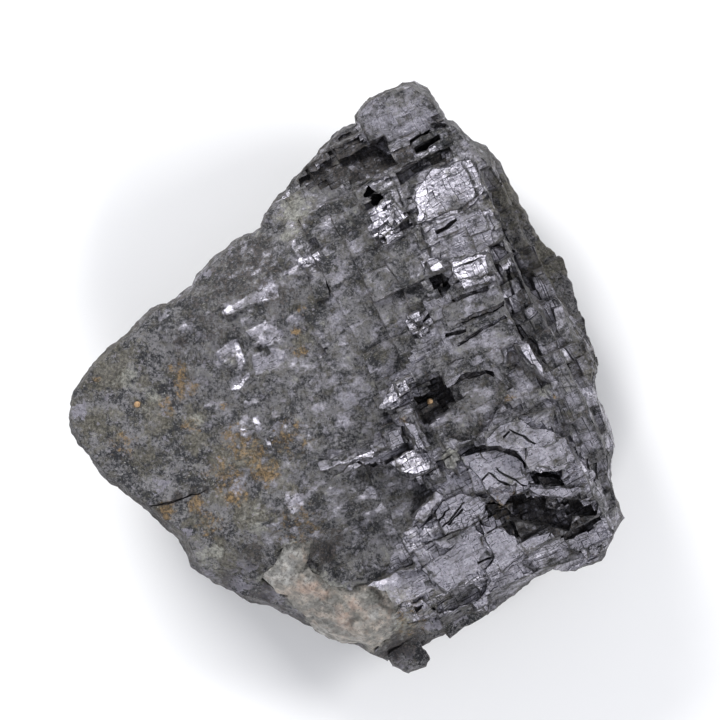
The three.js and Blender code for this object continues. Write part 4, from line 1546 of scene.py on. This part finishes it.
def earth_coat(tree, where, colour):
    """All the coats over a colour, and how much they cover."""
    fine = noise_at(tree, where, 0.45, 5.0, 0.8)
    tan = ragged(tree, painted(tree, "tan"), noise_at(tree, where, 2.0, 7.0, 0.7), 0.22)
    colour = coated(tree, colour, tan, 0.72, ramp(tree, fine, 0.38, 0.66), EARTH_TONES)
    pale = ragged(tree, painted(tree, "pale"), noise_at(tree, where, 1.6, 7.0, 0.7), 0.25)
    colour = coated(tree, colour, pale, 0.8, ramp(tree, fine, 0.35, 0.65), QUARTZ_TONES)
    rust = rust_cover(tree, where)
    colour = coated(tree, colour, rust, 0.85, ramp(tree, fine, 0.38, 0.66), RUST_TONES)
    lead = ragged(tree, painted(tree, "lead"), noise_at(tree, where, 0.9, 3.0, 0.6), 0.12)
    colour = coated(tree, colour, lead, 0.85, ramp(tree, fine, 0.4, 0.6), LEAD_TONES)
    # Soot, and painted shade in hollows, on walls and on steep sides.
    soot = ragged(tree, painted(tree, "soot"), noise_at(tree, where, 0.9, 6.0, 0.75), 0.25)
    colour = coated(tree, colour, soot, 0.9, ramp(tree, fine, 0.45, 0.68), SOOT_AND_SHADE_TONES)
    grain = painted(tree, "grain")
    colour = coated(tree, colour, grain, 1.0, ramp(tree, fine, 0.35, 0.6), GRAIN_TONES)
    cover = tan
    for other in (pale, grain, rust, soot):
        cover = maths(tree, "MAXIMUM", cover, other)
    return colour, cover


rock_colour, _ = earth_coat(rock_tree, rock_where, rock_grey)
print("nodes with the rock's coats:", len(rock_tree.nodes))

# %% [markdown]
# ### Wall rock
#
# The rock is dull and gritty. Its grit is finer than the mesh, so it is a bump: the finish only
# pretends that the surface goes up and down. It has next to no shine.

# %% Wall rock
def bump(tree, height, depth, previous=None):
    """A bump of the given depth in millimetres, on top of a previous one."""
    made = tree.nodes.new("ShaderNodeBump")
    made.inputs["Distance"].default_value = depth * MM
    tree.links.new(height, made.inputs["Height"])
    if previous is not None:
        tree.links.new(previous, made.inputs["Normal"])
    return made.outputs["Normal"]


rock_bumps = bump(rock_tree, rock_lumps, 0.4, bump(rock_tree, rock_grit, 0.08))
rock_tree.links.new(rock_colour, rock_shader.inputs["Base Color"])
rock_tree.links.new(rock_bumps, rock_shader.inputs["Normal"])
rock_shader.inputs["Roughness"].default_value = 0.62
rock_shader.inputs["Specular IOR Level"].default_value = 0.25
rock_piece.data.materials.append(rock_look)
print("nodes in the rock's finish:", len(rock_tree.nodes))

# %% [markdown]
# ### Galena
#
# Much of the galena's look comes in cells: small areas along the ledges that differ a little
# from their neighbours. A cell pattern gives each cell one random value, once the coordinates
# are turned to the grain and squeezed to the size of a cell.

# %% Cells along the grain
LEDGE_CELL = (3.0, 1.3)  # along and across, in millimetres


def stretched(tree, where, turn, size):
    """Coordinates turned to a grain, where a cell of the given size measures 1."""
    turned = tree.nodes.new("ShaderNodeMapping")
    turned.inputs["Rotation"].default_value = (0, 0, -turn)
    tree.links.new(where, turned.inputs["Vector"])
    squeezed = tree.nodes.new("ShaderNodeMapping")
    squeezed.inputs["Scale"].default_value = (1 / size[0], 1 / size[1], 1 / size[1])
    tree.links.new(turned.outputs["Vector"], squeezed.inputs["Vector"])
    return squeezed.outputs["Vector"]


def facets(tree, where, distance="CHEBYCHEV"):
    """A random lean for each cell of a pattern of small facets."""
    cells = tree.nodes.new("ShaderNodeTexVoronoi")
    cells.distance = distance
    cells.inputs["Scale"].default_value = 1
    tree.links.new(where, cells.inputs["Vector"])
    return vector_maths(tree, "SUBTRACT", cells.outputs["Color"], (0.5, 0.5, 0.5))


galena_look, galena_tree, galena_shader, galena_where = new_finish("galena")
ledge_cells = stretched(galena_tree, galena_where, LEDGE_TURN, LEDGE_CELL)
galena_broad = facets(galena_tree, ledge_cells)
print("nodes with the broad cells:", len(galena_tree.nodes))

# %% [markdown]
# Fresh galena is a bluish lead-grey metal, scratched with dark nicks along its ledges. Where it
# is worn it is as dull and speckled as the rock. The wear follows the ledges: whole cells are a
# little more or less worn than their neighbours.

# %% Fresh and worn lead
FRESH_TONES = ((0.295, 0.285, 0.32), (0.47, 0.455, 0.51))
NICK = (0.035, 0.035, 0.042)
NICK_CELL = (0.75, 0.24)


def wear(tree, where, fine, broad):
    """How dull the lead is: the painted wear, made uneven by cells, patches and grains."""
    patchy = noise_at(tree, where, 2.2, 6.0, 0.7)
    along_part = vector_maths(tree, "DOT_PRODUCT", broad, (0.16, 0.0, 0.0))
    uneven = maths(tree, "SUBTRACT", maths(tree, "ADD", patchy, along_part), 0.15)
    uneven = maths(tree, "MULTIPLY_ADD", fine, 0.3, uneven)
    return ragged(tree, painted(tree, "worn"), uneven, 0.45)


def fresh_lead(tree, where, fine):
    """Bright lead with dark nicks along the ledges."""
    fresh = blend(tree, ramp(tree, fine, 0.35, 0.6), *FRESH_TONES)
    nicks = noise_at(tree, stretched(tree, where, LEDGE_TURN, NICK_CELL), 1.0, 3.0, 0.6)
    return blend(tree, ramp(tree, nicks, 0.62, 0.68, 0.0, 0.8), fresh, NICK)


galena_fine = noise_at(galena_tree, galena_where, 0.3, 4.0, 0.75)
galena_dull = wear(galena_tree, galena_where, galena_fine, galena_broad)
galena_fresh = fresh_lead(galena_tree, galena_where, galena_fine)
print("nodes with fresh and worn lead:", len(galena_tree.nodes))

# %% [markdown]
# Thin straight breaks run across the plates, along the two cleavages. They are finer than the
# steps of the mesh, so they are drawn: the coordinate across the grain is cut into even bands,
# the first sliver of each band is a line, and noise bends and interrupts it. The cracks painted
# on the mesh are added, and on the walls of the steps they are painted shade. All of them show
# less where the lead is worn.

# %% Breaks in the lead, and painted shade on the step walls
ALONG_BREAKS = (1.5, 0.12)  # gap and width, in millimetres
ACROSS_BREAKS = (2.4, 0.1)
ACROSS_TURN = math.radians(88)


def grain_lines(tree, where, turn, gap, width):
    """Thin straight breaks along a grain, about a gap apart and interrupted at random."""
    turned = stretched(tree, where, turn, (gap, gap))
    wander = noise_at(tree, where, 2.6, 3.0, 0.6)
    across = tree.nodes.new("ShaderNodeSeparateXYZ")
    tree.links.new(turned, across.inputs["Vector"])
    place = maths(tree, "FRACT", maths(tree, "MULTIPLY_ADD", wander, 2.4, across.outputs["Y"]))
    line = maths(tree, "LESS_THAN", place, width / gap)
    mask = ramp(tree, noise_at(tree, turned, 1.3, 2.0, 0.5), 0.48, 0.56)
    return maths(tree, "MULTIPLY", line, mask)


def breaks_and_wall_shade(tree, where):
    """The drawn lines, and the cracks of the mesh with their painted wall shade."""
    along = grain_lines(tree, where, LEDGE_TURN, *ALONG_BREAKS)
    across = grain_lines(tree, where, LEDGE_TURN + ACROSS_TURN, *ACROSS_BREAKS)
    lines = maths(tree, "MAXIMUM", along, across)
    lines = maths(tree, "MULTIPLY", lines, ramp(tree, painted(tree, "worn"), 0.55, 0.75, 0.8, 0.25))
    seen = ramp(tree, painted(tree, "worn"), 0.4, 0.8, 0.9, 0.16)
    return maths(tree, "MAXIMUM", maths(tree, "MULTIPLY", painted(tree, "crack_shade"), seen), lines)


galena_breaks_and_wall_shade = breaks_and_wall_shade(galena_tree, galena_where)
print("nodes with the breaks:", len(galena_tree.nodes))

# %% [markdown]
# The colour is put together from the inside out: fresh or worn lead, then the coat of earth,
# then the breaks with the painted shade of the step walls. Bare lead is a metal. Where it is
# worn, coated or broken it is not, and it is rougher there too.

# %% Colour and shine of the galena
BREAK_AND_WALL_SHADE = (0.012, 0.012, 0.014)


def metal_share(tree, dull, hidden):
    """1 on bare lead, little where it is dull, none where it is hidden."""
    bare = maths(tree, "SUBTRACT", 1.0, hidden)
    return maths(tree, "MULTIPLY", ramp(tree, dull, 0, 1, 1.0, 0.1), bare)


def roughness(tree, fine, dull, cover):
    """Bright lead is smoothest, worn lead rougher, and coated lead roughest."""
    gloss = maths(tree, "MULTIPLY_ADD", fine, 0.25, ramp(tree, dull, 0, 1, 0.18, 0.45))
    return maths(tree, "MULTIPLY_ADD", cover, 0.2, gloss)


galena_grey = weathered_grey(galena_tree, galena_where, 0.86)
galena_colour = blend(galena_tree, galena_dull, galena_fresh, galena_grey)
galena_colour, galena_cover = earth_coat(galena_tree, galena_where, galena_colour)
# The breaks and the painted shade on the step walls are nearly black.
galena_colour = blend(galena_tree, galena_breaks_and_wall_shade, galena_colour, BREAK_AND_WALL_SHADE)
galena_hidden = maths(galena_tree, "MAXIMUM", galena_cover, galena_breaks_and_wall_shade)
galena_metal = metal_share(galena_tree, galena_dull, galena_hidden)
galena_rough = roughness(galena_tree, galena_fine, galena_dull, galena_cover)
galena_tree.links.new(galena_colour, galena_shader.inputs["Base Color"])
galena_tree.links.new(galena_metal, galena_shader.inputs["Metallic"])
galena_tree.links.new(galena_rough, galena_shader.inputs["Roughness"])
galena_shader.inputs["Specular IOR Level"].default_value = 0.3
print("nodes with colour and shine:", len(galena_tree.nodes))

# %% [markdown]
# Each little flake of galena leans its own way and so mirrors another part of the room, which
# is why a broken face sparkles. Cutting a million flakes into the mesh would be too heavy. So
# the direction of the surface gets a small random lean per cell, in three sizes of cell. How
# strong it is was painted on as `shiver`. A flake painted with `flash` leans towards the window
# and shines.

# %% Flakes that lean
MIDDLE_CELL = (0.9, 0.45)
SMALL_CELL = (0.4, 0.3)
SMALL_TURN = 0.3
LEAN_ANYWAY = 0.02
LEAN_BY_SHIVER = 0.32
TOWARDS_WINDOW = (-0.26, 0.385, 0.0)


def leaning_flakes(tree, where, broad, grit):
    """The direction of the surface, with grit on it and a lean for each flake."""
    middle = facets(tree, stretched(tree, where, LEDGE_TURN, MIDDLE_CELL))
    small = facets(tree, stretched(tree, where, SMALL_TURN, SMALL_CELL), "EUCLIDEAN")
    lean = vector_maths(tree, "ADD", vector_maths(tree, "ADD", broad, middle), small)
    shiver = painted(tree, "shiver")
    strength = maths(tree, "MULTIPLY_ADD", shiver, LEAN_BY_SHIVER, LEAN_ANYWAY)
    lean = vector_maths(tree, "SCALE", lean, strength)
    flash = vector_maths(tree, "SCALE", TOWARDS_WINDOW, painted(tree, "flash"))
    leaned = vector_maths(tree, "ADD", grit, vector_maths(tree, "ADD", lean, flash))
    return vector_maths(tree, "NORMALIZE", leaned, (0.0, 0.0, 0.0))


galena_grit = bump(galena_tree, galena_fine, 0.08)
galena_lumps = noise_at(galena_tree, galena_where, 0.7, 4.0, 0.65)
galena_grit = bump(galena_tree, galena_lumps, 0.18, galena_grit)
galena_lean = leaning_flakes(galena_tree, galena_where, galena_broad, galena_grit)
galena_tree.links.new(galena_lean, galena_shader.inputs["Normal"])
galena_piece.data.materials.append(galena_look)
print("nodes in the galena's finish:", len(galena_tree.nodes))

# %% [markdown]
# ### Calcite
#
# The calcite is a mottled crust: grey where it is thin, cream where it is thick, flesh-pink
# along its middle, and frosted white at one end; a white spot on its right lobe is a painted
# highlight. Each of these has a dark and a light tone, and the same middling noise chooses
# between them. Murky smudges lie on it, and fine dark pores are cut in last.

# %% Calcite
GREY_TONES = ((0.115, 0.109, 0.096), (0.205, 0.194, 0.174))
CREAM_TONES = ((0.21, 0.184, 0.155), (0.36, 0.312, 0.265))
FLESH_TONES = ((0.215, 0.149, 0.117), (0.365, 0.26, 0.203))
FROST_AND_HIGHLIGHT_TONES = ((0.19, 0.19, 0.186), (0.39, 0.386, 0.368))
MURK_TONES = ((0.022, 0.022, 0.02), (0.13, 0.128, 0.112))
PORE = (0.05, 0.045, 0.038)
CRUST_TURN = math.radians(-38)
CRUST_LUMP = (4.0, 1.5)


def calcite_colour(tree, where):
    """The crust's colour, from the grey ground up to the pores."""
    fine = noise_at(tree, where, 0.35, 5.0, 0.7)
    mottle = ramp(tree, noise_at(tree, where, 1.1, 4.0, 0.6), 0.36, 0.64)
    lumps = noise_at(tree, stretched(tree, where, CRUST_TURN, CRUST_LUMP), 1.0, 4.0, 0.6)
    grey = blend(tree, mottle, *GREY_TONES)
    colour = blend(tree, ramp(tree, lumps, 0.44, 0.6), grey, blend(tree, mottle, *CREAM_TONES))
    pink = ragged(tree, painted(tree, "rust"), noise_at(tree, where, 1.6, 4.0, 0.6), 0.5)
    colour = coated(tree, colour, pink, 0.8, mottle, FLESH_TONES)
    # Frosted white, with a painted highlight on the right lobe.
    white = ragged(tree, painted(tree, "pale"), noise_at(tree, where, 1.4, 5.0, 0.65), 0.5)
    colour = coated(tree, colour, white, 0.75, mottle, FROST_AND_HIGHLIGHT_TONES)
    smudge = ragged(tree, painted(tree, "soot"), noise_at(tree, where, 1.2, 5.0, 0.65), 0.45)
    colour = coated(tree, colour, smudge, 0.85, ramp(tree, fine, 0.38, 0.64), MURK_TONES)
    return blend(tree, ramp(tree, fine, 0.34, 0.5, 0.75, 0.0), colour, PORE)


calcite_look, calcite_tree, calcite_shader, calcite_where = new_finish("calcite")
calcite_grit = noise_at(calcite_tree, calcite_where, 0.8, 4.0, 0.6)
calcite_bumps = bump(calcite_tree, calcite_grit, 0.25)
calcite_tree.links.new(
    calcite_colour(calcite_tree, calcite_where), calcite_shader.inputs["Base Color"]
)
calcite_tree.links.new(calcite_bumps, calcite_shader.inputs["Normal"])
calcite_shader.inputs["Roughness"].default_value = 0.4
calcite_piece.data.materials.append(calcite_look)
print("nodes in the calcite's finish:", len(calcite_tree.nodes))

# %% [markdown]
# ## Floor, light and camera
#
# The stone lies on a sheet of white paper. A plain square is enough, as long as its edges are
# out of sight.

# %% Floor
FLOOR_HALF = 4

floor_form = bmesh.new()
bmesh.ops.create_grid(floor_form, x_segments=1, y_segments=1, size=FLOOR_HALF)
floor_mesh = bpy.data.meshes.new("floor")
floor_form.to_mesh(floor_mesh)
floor_form.free()
floor = bpy.data.objects.new("floor", floor_mesh)
bpy.context.scene.collection.objects.link(floor)
paper = bpy.data.materials.new("white paper")
paper.use_nodes = True
paper_shader = paper.node_tree.nodes["Principled BSDF"]
paper_shader.inputs["Base Color"].default_value = (0.92, 0.92, 0.92, 1)
paper_shader.inputs["Roughness"].default_value = 0.9
floor_mesh.materials.append(paper)
floor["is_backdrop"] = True
print("the floor is", 2 * FLOOR_HALF, "m wide")

# %% [markdown]
# A mirror-like stone shows what is around it. One large soft window stands at the upper left and
# makes the flashes. Two weaker lights fill in the shadows, and a pale room gives all the other
# ledges something to mirror.

# %% Lights
STONE_MIDDLE = Vector((0, 0, 15 * MM))


def soft_light(name, place, size, power):
    """A square lamp at a place in metres that looks at the middle of the stone."""
    lamp = bpy.data.lights.new(name, "AREA")
    lamp.shape = "SQUARE"
    lamp.size = size
    lamp.energy = power
    light = bpy.data.objects.new(name, lamp)
    bpy.context.scene.collection.objects.link(light)
    light.location = place
    way = STONE_MIDDLE - Vector(place)
    light.rotation_euler = way.to_track_quat("-Z", "Y").to_euler()
    print(name, "stands", round(way.length, 2), "m away")


soft_light("window", (-0.42, 0.62, 0.46), 0.36, 8.5)
soft_light("right fill", (0.7, 0.2, 0.42), 0.3, 4)
soft_light("near fill", (0.0, -0.75, 0.42), 0.3, 4)

world = bpy.data.worlds.new("room")
bpy.context.scene.world = world
world.use_nodes = True
room = world.node_tree.nodes["Background"]
room.inputs["Color"].default_value = (0.78, 0.80, 0.88, 1)
room.inputs["Strength"].default_value = 0.5

# %% [markdown]
# The camera looks straight down from far away through a long lens, so the steep sides don't
# crowd into the picture. Its height follows from the width that it should see.

# %% Camera
LENS = 300
SENSOR = 36
SPAN = 98.3 * MM  # width of the view at the stone's rim
RIM_HEIGHT = 15 * MM
VIEW_MIDDLE = (2.2 * MM, 2.2 * MM)  # from the mark

camera_data = bpy.data.cameras.new("camera")
camera_data.lens = LENS
camera_data.sensor_width = SENSOR
camera = bpy.data.objects.new("camera", camera_data)
bpy.context.scene.collection.objects.link(camera)
camera.location = (
    MARK.x + VIEW_MIDDLE[0], MARK.y + VIEW_MIDDLE[1], RIM_HEIGHT + SPAN * LENS / SENSOR
)
bpy.context.scene.camera = camera
bpy.context.scene.view_settings.view_transform = "Standard"
print("the camera hangs", round(camera.location.z, 3), "m up")

# %% [markdown]
# Last, the finished stone is measured against the CAD model, and how much it has grown in each
# direction is printed. The stone may be a little larger, because grit and lumps stand out from it.

# %% Print how much the stone has grown
visual_box = [list(corner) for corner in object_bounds()]
growth = [
    round((high - low - (cad_high - cad_low)) / MM, 2)
    for low, high, cad_low, cad_high in zip(*visual_box, *cad_box)
]
print("grown by, in mm:", growth)
